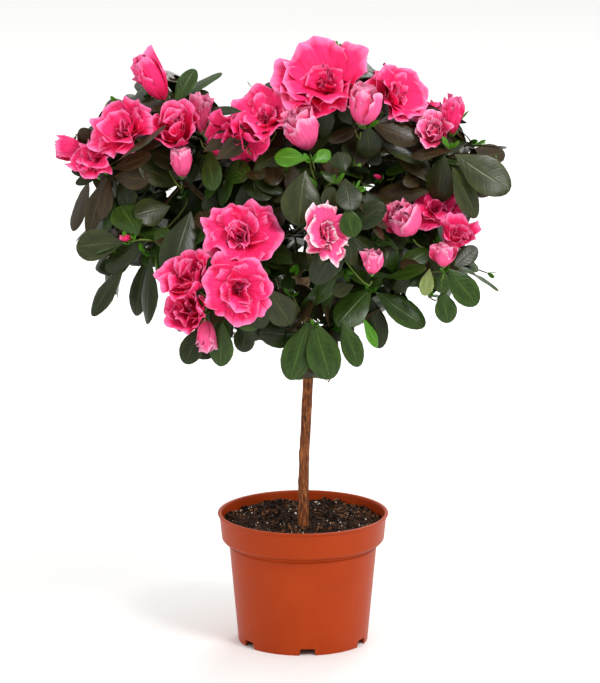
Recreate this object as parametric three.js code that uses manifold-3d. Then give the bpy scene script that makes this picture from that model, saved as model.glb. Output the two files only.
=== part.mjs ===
// An azalea trained as a small standard tree: one bare stem out of a plastic nursery pot,
// forking into boughs that carry a loose round head of leafy masses.
// Millimetres, +Z up, ground at z = 0, seen from the front along +Y.
import * as THREE from "three";
import { mergeVertices } from "three/addons/utils/BufferGeometryUtils.js";
import Module from "manifold-3d";

const wasm = await Module();
wasm.setup();

// ---------------------------------------------------------------- driving sizes

const gap = 0.3; // between two pieces that meet
const airGap = 1.6; // between two masses of leaves

const pot = {
  height: 100,
  wall: 1.4,
  footRadius: 49.3,
  shoulderRadius: 56.2,
  bandHeight: 20.5,
  bandFootRadius: 61.8,
  bandRadius: 63.6,
  lipRadius: 65,
  lipHeight: 1.8,
  slope: 5, // height of the step out from the wall to the band
  floorHeight: 4.4, // underside of the raised floor
  sides: 42,
};

const notch = { count: 6, wide: 13, narrow: 10.5, tall: 5.3, deep: 11, firstTurn: 4 };

const soil = { level: 89.2, unevenness: 2.6, rings: [12, 26, 40, 51], sides: 24 };

const stem = {
  foot: [0, -12],
  footRadius: 4.4,
  waistRadius: 3.7,
  tipRadius: 3.4,
  flare: 14, // height over which the foot narrows
  sides: 10,
  steps: 16,
};

const graft = { at: [4.8, -8, 226], radius: 7, stretch: 1.35 }; // swollen union under the head
const crotch = { at: [0, 2, 281], radius: 5.4, stretch: 1.2 }; // where the leader divides

const heart = { at: [-2, 0, 272], radii: [64, 60, 66] }; // the airy middle of the head

const boughSides = 7;
const boughSteps = 7;

// Each mass: its middle and half sizes, how deep its knobs are, the seed of their places, and
// its furthest tips, each a way out from the middle with the extra reach as a share of the size.
const masses = {
  crown_top: {
    at: [24, -4, 418],
    radii: [58, 64, 45],
    knob: 0.17,
    seed: 3,
    tips: [
      [-0.1, 0, 1, 0.24],
      [0.75, 0.1, 0.45, 0.2],
      [-0.8, 0.1, 0.7, -0.1],
    ],
  },
  top_left: {
    at: [-40, -40, 392],
    radii: [48, 54, 42],
    knob: 0.15,
    seed: 11,
    tips: [[0.1, -0.2, 1, 0.12]],
  },
  upper_left: {
    at: [-118, -4, 392],
    radii: [56, 66, 42],
    knob: 0.16,
    seed: 5,
    tips: [
      [0.02, 0, 1, 0.75],
      [0.7, 0.2, 0.72, 0.5],
      [-1, -0.1, -0.05, 0.28],
      [-0.7, -0.1, 0.6, -0.12],
    ],
  },
  far_left: {
    at: [-124, -16, 322],
    radii: [48, 64, 48],
    knob: 0.15,
    seed: 8,
    tips: [
      [-0.5, 0, -0.85, 0.3],
      [0.2, -0.1, -1, 0.26],
      [-1, 0, 0.25, 0.14],
      [-0.3, 0.9, 0, 0.14],
    ],
  },
  lower_left: {
    at: [-64, -82, 306],
    radii: [50, 50, 54],
    knob: 0.16,
    seed: 21,
    tips: [
      [-0.3, 0.1, -0.95, 0.2],
      [0.15, 0, -1, 0.16],
      [0.1, -1, 0.1, 0.14],
    ],
  },
  front_middle: {
    at: [18, -90, 348],
    radii: [48, 48, 56],
    knob: 0.16,
    seed: 13,
    tips: [[0, -1, 0.1, 0.12]],
  },
  upper_right: {
    at: [98, -10, 378],
    radii: [54, 66, 40],
    knob: 0.16,
    seed: 17,
    tips: [
      [0.3, 0, 0.95, 0.5],
      [-0.35, 0.1, 0.9, 0.3],
      [1, -0.2, 0.05, 0.2],
      [0.8, 0, 0.6, -0.16],
    ],
  },
  lower_right: {
    at: [90, -38, 312],
    radii: [52, 60, 46],
    knob: 0.15,
    seed: 29,
    tips: [
      [0.9, 0, -0.4, 0.26],
      [0.3, 0, -0.95, 0.2],
      [0.9, -0.2, 0.5, 0.16],
      [-0.3, -0.1, -0.95, 0.2],
    ],
  },
  under_front: {
    at: [4, -60, 264],
    radii: [46, 46, 40],
    knob: 0.15,
    seed: 37,
    tips: [
      [-0.25, -0.1, -0.95, 0.14],
      [0.45, -0.1, -0.85, 0.14],
      [1, 0, -0.1, 0.26],
      [-0.8, 0, -0.6, -0.12],
    ],
  },
  back_left: {
    at: [-88, 76, 336],
    radii: [62, 56, 60],
    knob: 0.17,
    seed: 41,
    tips: [
      [-0.8, 0.5, 0, 0.2],
      [-0.2, 0.4, -0.9, 0.22],
      [-0.3, 0.6, 0.7, 0.2],
    ],
  },
  back_middle: {
    at: [-14, 92, 378],
    radii: [56, 48, 52],
    knob: 0.17,
    seed: 43,
    tips: [
      [0, 0.6, 0.8, 0.22],
      [0, 1, 0, 0.16],
    ],
  },
  back_right: {
    at: [76, 78, 330],
    radii: [60, 58, 58],
    knob: 0.17,
    seed: 53,
    tips: [
      [0.8, 0.4, 0.3, 0.22],
      [0.3, 0.4, -0.9, 0.2],
      [0.3, 0.8, 0.5, 0.18],
    ],
  },
  under_back: {
    at: [-4, 88, 284],
    radii: [54, 48, 44],
    knob: 0.17,
    seed: 59,
    tips: [
      [0.2, 0.2, -1, 0.28],
      [-0.6, 0.4, -0.7, 0.22],
    ],
  },
};

// Each bough: the knuckle it leaves, the mass it carries, its two radii and how much it arches.
const boughs = {
  bough_leader: { from: "graft", to: "crotch", radii: [3.1, 2.8], arch: 4 },
  bough_far_left: { from: "graft", to: "far_left", radii: [2.6, 1.7], arch: 16 },
  bough_lower_left: { from: "graft", to: "lower_left", radii: [2.5, 1.7], arch: 16 },
  bough_under_front: { from: "graft", to: "under_front", radii: [2.1, 1.5], arch: 10 },
  bough_lower_right: { from: "graft", to: "lower_right", radii: [2.6, 1.7], arch: 16 },
  bough_under_back: { from: "graft", to: "under_back", radii: [2.3, 1.6], arch: 14 },
  bough_top: { from: "crotch", to: "crown_top", radii: [2.4, 1.6], arch: 4 },
  bough_upper_left: { from: "crotch", to: "upper_left", radii: [2.3, 1.5], arch: 14 },
  bough_upper_right: { from: "crotch", to: "upper_right", radii: [2.3, 1.5], arch: 14 },
  bough_front: { from: "crotch", to: "front_middle", radii: [2.1, 1.4], arch: 12 },
  bough_back_left: { from: "crotch", to: "back_left", radii: [2.1, 1.4], arch: 12 },
  bough_back_right: { from: "crotch", to: "back_right", radii: [2.1, 1.4], arch: 12 },
};

const colours = {
  terracotta: [0xc0451a, 0.42],
  peat: [0x2a1a12, 0.95],
  bark: [0x7d4527, 0.85],
  union: [0x3d4146, 0.8],
  leaf: [0x33402c, 0.55],
};

// ---------------------------------------------------------------- shape helpers

function material(name) {
  const [color, roughness] = colours[name];
  return new THREE.MeshStandardMaterial({ name, color, roughness, metalness: 0 });
}

function seededRandom(seed) {
  let state = seed * 7919 + 1;
  return () => {
    state = (state * 16807) % 2147483647;
    return state / 2147483647;
  };
}

function toSolid(geometry) {
  geometry.deleteAttribute("normal");
  geometry.deleteAttribute("uv");
  const merged = mergeVertices(geometry, 1e-4);
  return new wasm.Manifold(
    new wasm.Mesh({
      numProp: 3,
      vertProperties: merged.attributes.position.array,
      triVerts: new Uint32Array(merged.index.array),
    }),
  );
}

function toMesh(name, solid, look) {
  const { vertProperties, triVerts } = solid.getMesh();
  const geometry = new THREE.BufferGeometry();
  geometry.setAttribute("position", new THREE.BufferAttribute(vertProperties, 3));
  geometry.setIndex(new THREE.BufferAttribute(triVerts, 1));
  geometry.computeVertexNormals();
  const mesh = new THREE.Mesh(geometry, material(look));
  mesh.name = name;
  return mesh;
}

// Moves every vertex of a geometry to move(vertex), in place.
function reshape(geometry, move) {
  const position = geometry.attributes.position;
  const vertex = new THREE.Vector3();
  for (let i = 0; i < position.count; i++) {
    vertex.fromBufferAttribute(position, i);
    move(vertex);
    position.setXYZ(i, vertex.x, vertex.y, vertex.z);
  }
  return geometry;
}

// The separate body of a solid that lies nearest to a point.
function bodyNearest(solid, point) {
  const nearness = (body) => {
    const { vertProperties, numProp } = body.getMesh();
    let least = Infinity;
    for (let i = 0; i < vertProperties.length; i += numProp) {
      const corner = new THREE.Vector3().fromArray(vertProperties, i);
      least = Math.min(least, corner.distanceTo(point));
    }
    return least;
  };
  return solid.decompose().sort((a, b) => nearness(a) - nearness(b))[0];
}

function largestBody(solid) {
  return solid.decompose().sort((a, b) => b.volume() - a.volume())[0];
}

// An ellipsoid of leaves or wood, with knobs pushed out at seeded places on it, and its tips.
function lump({ at, radii, knob = 0, seed = 1, tips = [] }, grow = 0, detail = 3) {
  const random = seededRandom(seed);
  const knobs = Array.from({ length: 14 }, () => {
    const way = new THREE.Vector3().setFromSphericalCoords(
      1,
      Math.acos(2 * random() - 1),
      2 * Math.PI * random(),
    );
    return { way, height: knob * (random() * 2 - 0.75), breadth: 0.09 };
  });
  for (const [x, y, z, height] of tips) {
    knobs.push({ way: new THREE.Vector3(x, y, z).normalize(), height, breadth: 0.05 });
  }
  return reshape(new THREE.IcosahedronGeometry(1, detail), (vertex) => {
    const way = vertex.clone().normalize();
    let reach = 1 + knob * 0.3 * Math.sin(way.x * 11 + seed) * Math.cos(way.z * 13 + way.y * 9);
    for (const each of knobs) {
      reach += each.height * Math.exp((way.dot(each.way) - 1) / each.breadth);
    }
    vertex.set(
      at[0] + way.x * (radii[0] * reach + grow),
      at[1] + way.y * (radii[1] * reach + grow),
      at[2] + way.z * (radii[2] * reach + grow),
    );
  });
}

// A round limb along a curve, whose radius at t from 0 to 1 is radiusAt(t).
function limb(curve, radiusAt, sides, steps) {
  const frames = curve.computeFrenetFrames(steps);
  return reshape(new THREE.CylinderGeometry(1, 1, 1, sides, steps), (vertex) => {
    const step = Math.round((vertex.y + 0.5) * steps);
    const radius = radiusAt(step / steps);
    const across = frames.normals[step].clone().multiplyScalar(vertex.x * radius);
    const along = frames.binormals[step].clone().multiplyScalar(-vertex.z * radius);
    vertex.copy(curve.getPointAt(step / steps)).add(across).add(along);
  });
}

// ---------------------------------------------------------------- pot and soil

function makePot() {
  const { wall, height, footRadius, shoulderRadius, bandFootRadius, bandRadius } = pot;
  const bandFoot = height - pot.bandHeight;
  const shoulder = bandFoot - pot.slope;
  const lipFoot = height - pot.lipHeight;
  const floorTop = pot.floorHeight + wall;
  const wallRadius = (z) => footRadius + ((shoulderRadius - footRadius) * z) / shoulder - wall;
  const profile = [
    [0, pot.floorHeight],
    [wallRadius(pot.floorHeight), pot.floorHeight],
    [footRadius - wall, 0],
    [footRadius, 0],
    [shoulderRadius, shoulder],
    [bandFootRadius - 1.2, bandFoot - 0.8],
    [bandFootRadius, bandFoot + 0.6],
    [bandRadius, lipFoot],
    [pot.lipRadius, lipFoot + 0.6],
    [pot.lipRadius, height - 0.4],
    [pot.lipRadius - 0.6, height],
    [bandRadius - wall + 0.3, height],
    [bandRadius - wall - 0.4, height - 1.4],
    [bandFootRadius - wall, bandFoot],
    [shoulderRadius - wall, shoulder],
    [wallRadius(floorTop), floorTop],
    [0, floorTop],
  ].map(([radius, z]) => new THREE.Vector2(radius, z));
  let solid = toSolid(new THREE.LatheGeometry(profile, pot.sides).rotateX(Math.PI / 2));
  for (let i = 0; i < notch.count; i++) {
    solid = solid.subtract(makeNotch((i * 360) / notch.count + notch.firstTurn));
  }
  return solid;
}

// A drain notch through the foot of the wall and the edge of the floor, turned from the front.
function makeNotch(turn) {
  const outline = new THREE.Shape([
    new THREE.Vector2(-notch.wide / 2, -1),
    new THREE.Vector2(notch.wide / 2, -1),
    new THREE.Vector2(notch.narrow / 2, notch.tall),
    new THREE.Vector2(-notch.narrow / 2, notch.tall),
  ]);
  const outerEdge = pot.footRadius + 2;
  const cutter = new THREE.ExtrudeGeometry(outline, { depth: notch.deep, bevelEnabled: false })
    .rotateX(Math.PI / 2)
    .translate(0, -outerEdge + notch.deep, 0)
    .rotateZ(THREE.MathUtils.degToRad(turn));
  return toSolid(cutter);
}

// Peat that fills the pot from its raised floor, dished and lumpy on top but level by the stem.
function makeSoil() {
  const shoulder = pot.height - pot.bandHeight - pot.slope;
  const inner = (z) =>
    pot.footRadius + ((pot.shoulderRadius - pot.footRadius) * z) / shoulder - pot.wall - gap * 1.6;
  const foot = pot.floorHeight + pot.wall + gap;
  const bandInner = pot.bandFootRadius - pot.wall - gap * 2;
  const bandFoot = pot.height - pot.bandHeight;
  const profile = [
    [0, foot],
    [inner(foot), foot],
    [inner(shoulder), shoulder + gap],
    [bandInner, bandFoot + gap * 2],
    [bandInner, soil.level + 1],
    ...soil.rings.toReversed().map((radius) => [radius, soil.level]),
    [0, soil.level],
  ].map(([radius, z]) => new THREE.Vector2(radius, z));
  const blank = new THREE.LatheGeometry(profile, soil.sides).rotateX(Math.PI / 2);
  const [footX, footY] = stem.foot;
  return toSolid(
    reshape(blank, (vertex) => {
      if (vertex.z < soil.level - 0.1) return;
      const fromStem = Math.hypot(vertex.x - footX, vertex.y - footY);
      const wave = Math.sin(vertex.x * 0.16 + 1.3) * Math.cos(vertex.y * 0.19 - 0.4);
      const slope = vertex.y / 30; // banked a little towards the back
      vertex.z += (soil.unevenness * wave) / 2 + slope;
      const calm = THREE.MathUtils.smoothstep(fromStem, 8, 22);
      vertex.z = THREE.MathUtils.lerp(soil.level, vertex.z, calm);
    }),
  );
}

// ---------------------------------------------------------------- stem and boughs

const knuckles = { graft, crotch };

function makeKnuckle({ at, radius, stretch }, grow = 0) {
  const radii = [radius, radius, radius * stretch];
  return toSolid(lump({ at, radii, knob: 0.08, seed: 2 }, grow, 1));
}

function makeStem() {
  const [footX, footY] = stem.foot;
  const [topX, topY, topZ] = graft.at;
  const foot = soil.level + gap;
  const rise = topZ - foot;
  const curve = new THREE.CatmullRomCurve3([
    new THREE.Vector3(footX, footY, foot),
    new THREE.Vector3(footX + 0.1, footY + 0.3, foot + rise * 0.12),
    new THREE.Vector3(footX + (topX - footX) * 0.2, footY + 1.4, foot + rise * 0.42),
    new THREE.Vector3(footX + (topX - footX) * 0.62, footY + 2.4, foot + rise * 0.72),
    new THREE.Vector3(topX, topY, topZ),
  ]);
  const radiusAt = (t) => {
    const flare = (stem.footRadius - stem.waistRadius) * Math.exp((-t * rise * 3) / stem.flare);
    return THREE.MathUtils.lerp(stem.waistRadius, stem.tipRadius, t) + flare;
  };
  const whole = toSolid(limb(curve, radiusAt, stem.sides, stem.steps));
  const level = new THREE.BoxGeometry(40, 40, 10).translate(footX, footY, foot - 5);
  return bodyNearest(
    whole.subtract(toSolid(level)).subtract(makeKnuckle(graft, gap)),
    new THREE.Vector3(footX, footY, foot),
  );
}

// One whole tapering bough, from the middle of its knuckle to the middle of what it carries.
function wholeBough({ from, to, radii, arch }, grow = 0) {
  const start = new THREE.Vector3(...knuckles[from].at);
  const goal = knuckles[to] ?? masses[to];
  const end = new THREE.Vector3(...goal.at);
  const bend = start.clone().lerp(end, 0.45);
  bend.z += knuckles[to] ? 0 : -arch;
  bend.x += knuckles[to] ? arch : 0;
  const curve = new THREE.QuadraticBezierCurve3(start, bend, end);
  const radiusAt = (t) => THREE.MathUtils.lerp(radii[0], radii[1], t) + grow;
  return toSolid(limb(curve, radiusAt, boughSides, boughSteps));
}

// A bough from its knuckle's skin until it enters a mass, cut clear of the pieces given.
function makeBough(bough, neighbours) {
  let solid = wholeBough(bough);
  for (const neighbour of neighbours) {
    solid = solid.subtract(neighbour);
  }
  return bodyNearest(solid, new THREE.Vector3(...knuckles[bough.from].at));
}

// ---------------------------------------------------------------- masses of leaves

// How far an ellipsoid reaches from its middle along a unit direction.
function reachAlong({ radii }, way) {
  return 1 / Math.hypot(way.x / radii[0], way.y / radii[1], way.z / radii[2]);
}

// A block that fills the space beyond the flat where two masses would grow into each other.
function blockBeyond(mass, other, share) {
  const middle = new THREE.Vector3(...mass.at);
  const across = new THREE.Vector3(...other.at).sub(middle);
  const distance = across.length();
  const way = across.normalize();
  const meeting = (distance + reachAlong(mass, way) - reachAlong(other, way)) / 2;
  const size = 500;
  const block = new THREE.BoxGeometry(size, size, size).translate(0, 0, size / 2 - share);
  block.applyQuaternion(new THREE.Quaternion().setFromUnitVectors(new THREE.Vector3(0, 0, 1), way));
  const flat = middle.addScaledVector(way, meeting);
  return toSolid(block.translate(flat.x, flat.y, flat.z));
}

function touches(mass, other) {
  const across = new THREE.Vector3(...other.at).sub(new THREE.Vector3(...mass.at));
  const distance = across.length();
  const way = across.normalize();
  const knobs = 1 + mass.knob + other.knob;
  return (reachAlong(mass, way) + reachAlong(other, way)) * knobs > distance;
}

function makeMass(name, grow = 0) {
  const mass = masses[name];
  let solid = toSolid(lump(mass, grow));
  for (const [otherName, other] of Object.entries(masses)) {
    if (otherName !== name && touches(mass, other)) {
      solid = solid.subtract(blockBeyond(mass, other, airGap / 2 - grow));
    }
  }
  const hollow = toSolid(lump({ ...heart, knob: 0.1, seed: 71 }, -grow, 3));
  return largestBody(solid.subtract(hollow));
}

// ---------------------------------------------------------------- assembly

const plant = new THREE.Group();
plant.add(toMesh("pot", makePot(), "terracotta"));
plant.add(toMesh("potting_soil", makeSoil(), "peat"));
plant.add(toMesh("stem", makeStem(), "bark"));
plant.add(toMesh("graft_union", makeKnuckle(graft), "union"));
plant.add(toMesh("crotch", makeKnuckle(crotch), "bark"));

const neighbours = Object.values(knuckles).map((knuckle) => makeKnuckle(knuckle, gap));
for (const name of Object.keys(masses)) {
  plant.add(toMesh("leaves_" + name, makeMass(name), "leaf"));
  neighbours.push(makeMass(name, gap));
}
for (const [name, bough] of Object.entries(boughs)) {
  plant.add(toMesh(name, makeBough(bough, neighbours), "bark"));
  neighbours.push(wholeBough(bough, gap));
}

// The origin is on the ground, under the middle of the whole plant's box.
const middle = new THREE.Box3().setFromObject(plant).getCenter(new THREE.Vector3());
plant.position.set(-middle.x, -middle.y, 0);

const whole = new THREE.Group();
whole.add(plant);

export default whole;
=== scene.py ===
import math

import bmesh
import bpy
import numpy as np
from mathutils import Matrix, Vector, noise
from mathutils.bvhtree import BVHTree


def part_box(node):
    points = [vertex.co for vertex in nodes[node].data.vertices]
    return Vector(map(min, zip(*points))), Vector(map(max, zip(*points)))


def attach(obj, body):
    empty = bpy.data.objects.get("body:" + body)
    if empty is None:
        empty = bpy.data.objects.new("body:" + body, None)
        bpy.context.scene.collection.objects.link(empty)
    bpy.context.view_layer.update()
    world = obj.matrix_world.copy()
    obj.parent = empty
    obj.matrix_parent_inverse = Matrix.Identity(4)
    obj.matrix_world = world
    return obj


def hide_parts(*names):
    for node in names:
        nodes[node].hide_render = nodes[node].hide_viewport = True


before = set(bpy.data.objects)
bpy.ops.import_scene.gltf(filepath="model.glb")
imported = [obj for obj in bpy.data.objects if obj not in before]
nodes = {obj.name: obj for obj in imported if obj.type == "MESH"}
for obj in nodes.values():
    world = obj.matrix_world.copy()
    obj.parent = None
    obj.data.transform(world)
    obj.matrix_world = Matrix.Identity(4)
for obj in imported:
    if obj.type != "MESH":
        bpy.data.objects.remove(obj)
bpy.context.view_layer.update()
mm = 0.001

potLow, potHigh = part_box("pot")
potAxis = Vector(((potLow.x + potHigh.x) / 2, (potLow.y + potHigh.y) / 2, 0))


# camera, floor and lights

studio = {
    "distance": 6000,  # mm, a long lens from far off
    "lookDown": 14.0,  # degrees
    "aimAside": -2.3,  # mm from the pot's axis
    "aimHeight": 233.8,  # mm above the floor
    "spanUp": 518.0,  # mm from the bottom of the view to its top at the pot's axis
    "sensor": 36,  # mm along the long side
    "floor": "f6f6f4",
    "floorReach": 9,  # m from the middle to each side
    "skyLow": 0.5,  # brightness of the surroundings at the horizon and overhead
    "skyHigh": 1.08,
    "backdrop": 0.9,  # brightness that the camera sees behind the floor
    "lampTarget": 0.3,  # m above the floor
    "lamps": {  # place in m from the foot of the pot, size in m, watts
        "key": ((1.0, -1.3, 1.7), 0.6, 24),
        "fill": ((-1.6, -1.4, 0.7), 1.2, 4),
        "rim": ((0.4, 1.5, 1.4), 0.8, 12),
    },
}

lookDown = math.radians(studio["lookDown"])
sightLine = Vector((0, math.cos(lookDown), -math.sin(lookDown)))
sightUp = Vector((0, math.sin(lookDown), math.cos(lookDown)))
aim = potAxis + Vector((studio["aimAside"], 0, studio["aimHeight"])) * mm
cameraPlace = aim - sightLine * studio["distance"] * mm


def linear(hexText):
    channels = [int(hexText[i:i + 2], 16) / 255 for i in (0, 2, 4)]
    return [c / 12.92 if c <= 0.04045 else ((c + 0.055) / 1.055) ** 2.4 for c in channels] + [1.0]


def addNode(tree, kind, inputs=None, to=None, stops=(), **settings):
    # an input that is a node or a socket is linked, to is the socket that the first output feeds, and stops
    # are the places and colours of a ramp
    node = tree.nodes.new(kind)
    for key, value in settings.items():
        setattr(node, key, value)
    for key, value in (inputs or {}).items():
        value = value.outputs[0] if isinstance(value, bpy.types.Node) else value
        if isinstance(value, bpy.types.NodeSocket):
            tree.links.new(value, node.inputs[key])
        else:
            node.inputs[key].default_value = value
    if to is not None:
        tree.links.new(node.outputs[0], to)
    stops = list(stops)
    if stops:
        elements = node.color_ramp.elements
        while len(elements) < len(stops):
            elements.new(0.5)
        for element, (place, colour) in zip(elements, stops):
            element.position = place
            element.color = linear(colour)
    return node


def newMaterial(name, baseColour, sockets):
    # one colour all over until something is linked to it
    material = bpy.data.materials.new(name)
    material.use_nodes = True
    shader = material.node_tree.nodes["Principled BSDF"]
    shader.inputs["Base Color"].default_value = linear(baseColour)
    for key, value in sockets.items():
        shader.inputs[key].default_value = value
    return material, material.node_tree, shader


def pointAt(thing, place, target):
    # for a camera or a lamp, which look down their own -Z
    thing.location = place
    thing.rotation_mode = "QUATERNION"
    thing.rotation_quaternion = (target - place).to_track_quat("-Z", "Y")
    bpy.context.scene.collection.objects.link(thing)


def makeStudio():
    scene = bpy.context.scene
    lens = bpy.data.cameras.new("camera")
    lens.sensor_width = studio["sensor"]
    lens.lens = lens.sensor_width * studio["distance"] / studio["spanUp"]
    lens.clip_end = 20
    camera = bpy.data.objects.new("camera", lens)
    pointAt(camera, cameraPlace, aim)
    scene.camera = camera
    scene.view_settings.view_transform = "Standard"

    world = bpy.data.worlds.new("studio")
    world.use_nodes = True
    tree = world.node_tree
    around = addNode(tree, "ShaderNodeTexCoord").outputs["Generated"]
    rise = addNode(tree, "ShaderNodeSeparateXYZ", {"Vector": around}).outputs["Z"]
    glow = addNode(tree, "ShaderNodeMapRange", {"Value": rise, "From Min": 0.0, "From Max": 0.8,
                                                "To Min": studio["skyLow"], "To Max": studio["skyHigh"]})
    seen = addNode(tree, "ShaderNodeLightPath").outputs["Is Camera Ray"]
    backdrop = tree.nodes["Background"]
    backdrop.inputs["Color"].default_value = (1, 1, 1, 1)
    addNode(tree, "ShaderNodeMix", {"Factor": seen, "A": glow, "B": studio["backdrop"]},
            backdrop.inputs["Strength"])
    scene.world = world

    target = potAxis + Vector((0, 0, studio["lampTarget"]))
    for name, (place, size, watts) in studio["lamps"].items():
        lamp = bpy.data.lights.new(name, "AREA")
        lamp.size = size
        lamp.energy = watts
        pointAt(bpy.data.objects.new(name, lamp), potAxis + Vector(place), target)

    # uncoated paper, without gloss, so that only the soft shadow shows on it
    paper = newMaterial("matteStudioPaper", studio["floor"], {"Roughness": 0.9})[0]
    bm = bmesh.new()
    bmesh.ops.create_grid(bm, x_segments=2, y_segments=2, size=studio["floorReach"])
    placed("floor", bm, paper)


def placed(name, bm, *materials):
    # a new object at the origin from a bmesh, which it uses up
    mesh = bpy.data.meshes.new(name)
    bm.to_mesh(mesh)
    bm.free()
    for material in materials:
        mesh.materials.append(material)
    piece = bpy.data.objects.new(name, mesh)
    bpy.context.scene.collection.objects.link(piece)
    return piece


def settle(piece, slot, *replaced):
    # everything is one body; replaced are the solids that the piece stands for
    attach(piece, "root")
    if replaced:
        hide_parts(*replaced)


def bakeModifiers(piece):
    # what the modifiers give becomes the mesh
    graph = bpy.context.evaluated_depsgraph_get()
    solid = bpy.data.meshes.new_from_object(piece.evaluated_get(graph))
    piece.modifiers.clear()
    piece.data = solid


makeStudio()
print("studio set")


# the pot

pot = {
    "wall": 1.4,  # mm
    "foot": 49.3,  # radius at the foot
    "shoulder": (56.2, 74.5),  # radius and height where the wall steps out
    "crease": (55.6, 75.1),  # the sharp fold under the band
    "band": [(60.6, 78.7), (61.8, 80.1), (63.6, 98.2)],  # the deep rim band
    "lip": [(65.0, 98.8), (65.0, 99.6)],
    "lipEdge": 0.6,  # how far the lip's top draws in from its side
    "mouthEdge": (0.3, -0.4, 1.4),  # inner edge at the top, the same below it, and how far below
    "floorHeight": 4.4,
    "rounding": 0.55,
    "turns": 168,
    "sharpFrom": 38,  # degrees between faces that keep a hard edge
    "notchWide": (13, 10.5),  # at the ground and at its top
    "notchTall": 5.3,
    "notchDeep": 11,
    "notchTurn": 4,  # degrees, the first one's place from the front
    "notches": 6,
    "colour": "a6390b",
    "warmSide": "aa3c0d",
    "shade": "a2370a",
    "cloud": 34,  # mm across a cloud in the pigment
    "grain": 0.7,  # mm, coarser than the mould's own so that it shows
}


def roundCorners(outline, radius, steps=3):
    # each corner but the two ends becomes a short curve
    points = []
    for i, corner in enumerate(outline):
        if i in (0, len(outline) - 1):
            points.append(corner)
            continue
        before, after = outline[i - 1] - corner, outline[i + 1] - corner
        start = corner + before.normalized() * min(radius, before.length * 0.45)
        end = corner + after.normalized() * min(radius, after.length * 0.45)
        for k in range(steps + 1):
            t = k / steps
            points.append(start * (1 - t) ** 2 + corner * 2 * t * (1 - t) + end * t ** 2)
    return points


def spinOutline(outline, turns):
    # a full turn about the upright axis
    bm = bmesh.new()
    ring = [bm.verts.new((p.x * mm, 0, p.y * mm)) for p in outline]
    edges = [bm.edges.new(pair) for pair in zip(ring, ring[1:])]
    bmesh.ops.spin(bm, geom=ring + edges, cent=(0, 0, 0), axis=(0, 0, 1), angle=math.tau,
                   steps=turns, use_merge=True)
    bmesh.ops.remove_doubles(bm, verts=bm.verts, dist=1e-6)
    bmesh.ops.recalc_face_normals(bm, faces=bm.faces)
    return bm


def mouldedPolypropylene():
    # injection moulded, so a satin skin with a very fine grain and cloudy pigment
    material, tree, shader = newMaterial("mouldedPolypropylene", pot["colour"], {
        "Roughness": 0.4, "IOR": 1.49, "Specular IOR Level": 0.14})
    place = addNode(tree, "ShaderNodeTexCoord").outputs["Object"]
    cloud = addNode(tree, "ShaderNodeTexNoise", {
        "Vector": place, "Scale": 1 / (pot["cloud"] * mm), "Detail": 3})
    addNode(tree, "ShaderNodeValToRGB", {"Fac": cloud}, shader.inputs["Base Color"],
            [(0.3, pot["shade"]), (0.52, pot["colour"]), (0.72, pot["warmSide"])])
    addNode(tree, "ShaderNodeMapRange", {"Value": cloud, "To Min": 0.34, "To Max": 0.46},
            shader.inputs["Roughness"])
    grain = addNode(tree, "ShaderNodeTexNoise", {
        "Vector": place, "Scale": 1 / (pot["grain"] * mm), "Detail": 2})
    addNode(tree, "ShaderNodeBump", {"Height": grain, "Strength": 0.12, "Distance": 0.12 * mm},
            shader.inputs["Normal"])
    return material


def makePot():
    wall, foot, floorUnder = pot["wall"], pot["foot"], pot["floorHeight"]
    height = potHigh.z / mm
    shoulderRadius, shoulderHeight = pot["shoulder"]
    slope = (shoulderRadius - foot) / shoulderHeight
    bandFoot, bandTop = pot["band"][1], pot["band"][2]
    lipRadius = pot["lip"][1][0]
    mouth, throat, throatDeep = pot["mouthEdge"]
    floorTop = floorUnder + wall
    outline = [Vector(point) for point in [
        (0, floorUnder),
        (foot - wall + slope * floorUnder, floorUnder),
        (foot - wall, 0),
        (foot, 0),
        pot["shoulder"],
        pot["crease"],
        *pot["band"],
        *pot["lip"],
        (lipRadius - pot["lipEdge"], height),
        (bandTop[0] - wall + mouth, height),
        (bandTop[0] - wall + throat, height - throatDeep),
        (bandFoot[0] - wall, bandFoot[1]),
        (shoulderRadius - wall, shoulderHeight),
        (foot - wall + slope * floorTop, floorTop),
        (0, floorTop),
    ]]
    bm = spinOutline(roundCorners(outline, pot["rounding"]), pot["turns"])
    bmesh.ops.translate(bm, verts=bm.verts, vec=potAxis)
    shell = placed("potShell", bm, mouldedPolypropylene())

    cutter = bmesh.new()
    wide, narrow = pot["notchWide"]
    for i in range(pot["notches"]):
        cube = bmesh.ops.create_cube(cutter, size=1)["verts"]
        for v in cube:
            width = wide if v.co.z < 0 else narrow
            rise = -1 if v.co.z < 0 else pot["notchTall"]
            v.co = Vector((v.co.x * width, -foot - 2 + (v.co.y + 0.5) * pot["notchDeep"], rise)) * mm
        turn = math.radians(pot["notchTurn"] + i * 360 / pot["notches"])
        bmesh.ops.rotate(cutter, verts=cube, cent=(0, 0, 0), matrix=Matrix.Rotation(turn, 3, "Z"))
    bmesh.ops.translate(cutter, verts=cutter.verts, vec=potAxis)
    tool = placed("notchTool", cutter)
    cut = shell.modifiers.new("notches", "BOOLEAN")
    cut.operation = "DIFFERENCE"
    cut.solver = "EXACT"
    cut.object = tool
    bakeModifiers(shell)
    bpy.data.objects.remove(tool)
    shell.data.shade_smooth()
    shell.data.set_sharp_from_angle(angle=math.radians(pot["sharpFrom"]))
    settle(shell, "pot", "pot")


makePot()
print("pot moulded")


# many small shapes joined into one mesh

tileMargin = 0.04  # left clear round each tile, so that neighbours don't bleed


def asArrays(bm):
    # the places of the corners, and which of them each face joins
    points = np.array([v.co for v in bm.verts])
    faces = np.array([[v.index for v in f.verts] for f in bm.faces])
    bm.free()
    return points, faces


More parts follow.
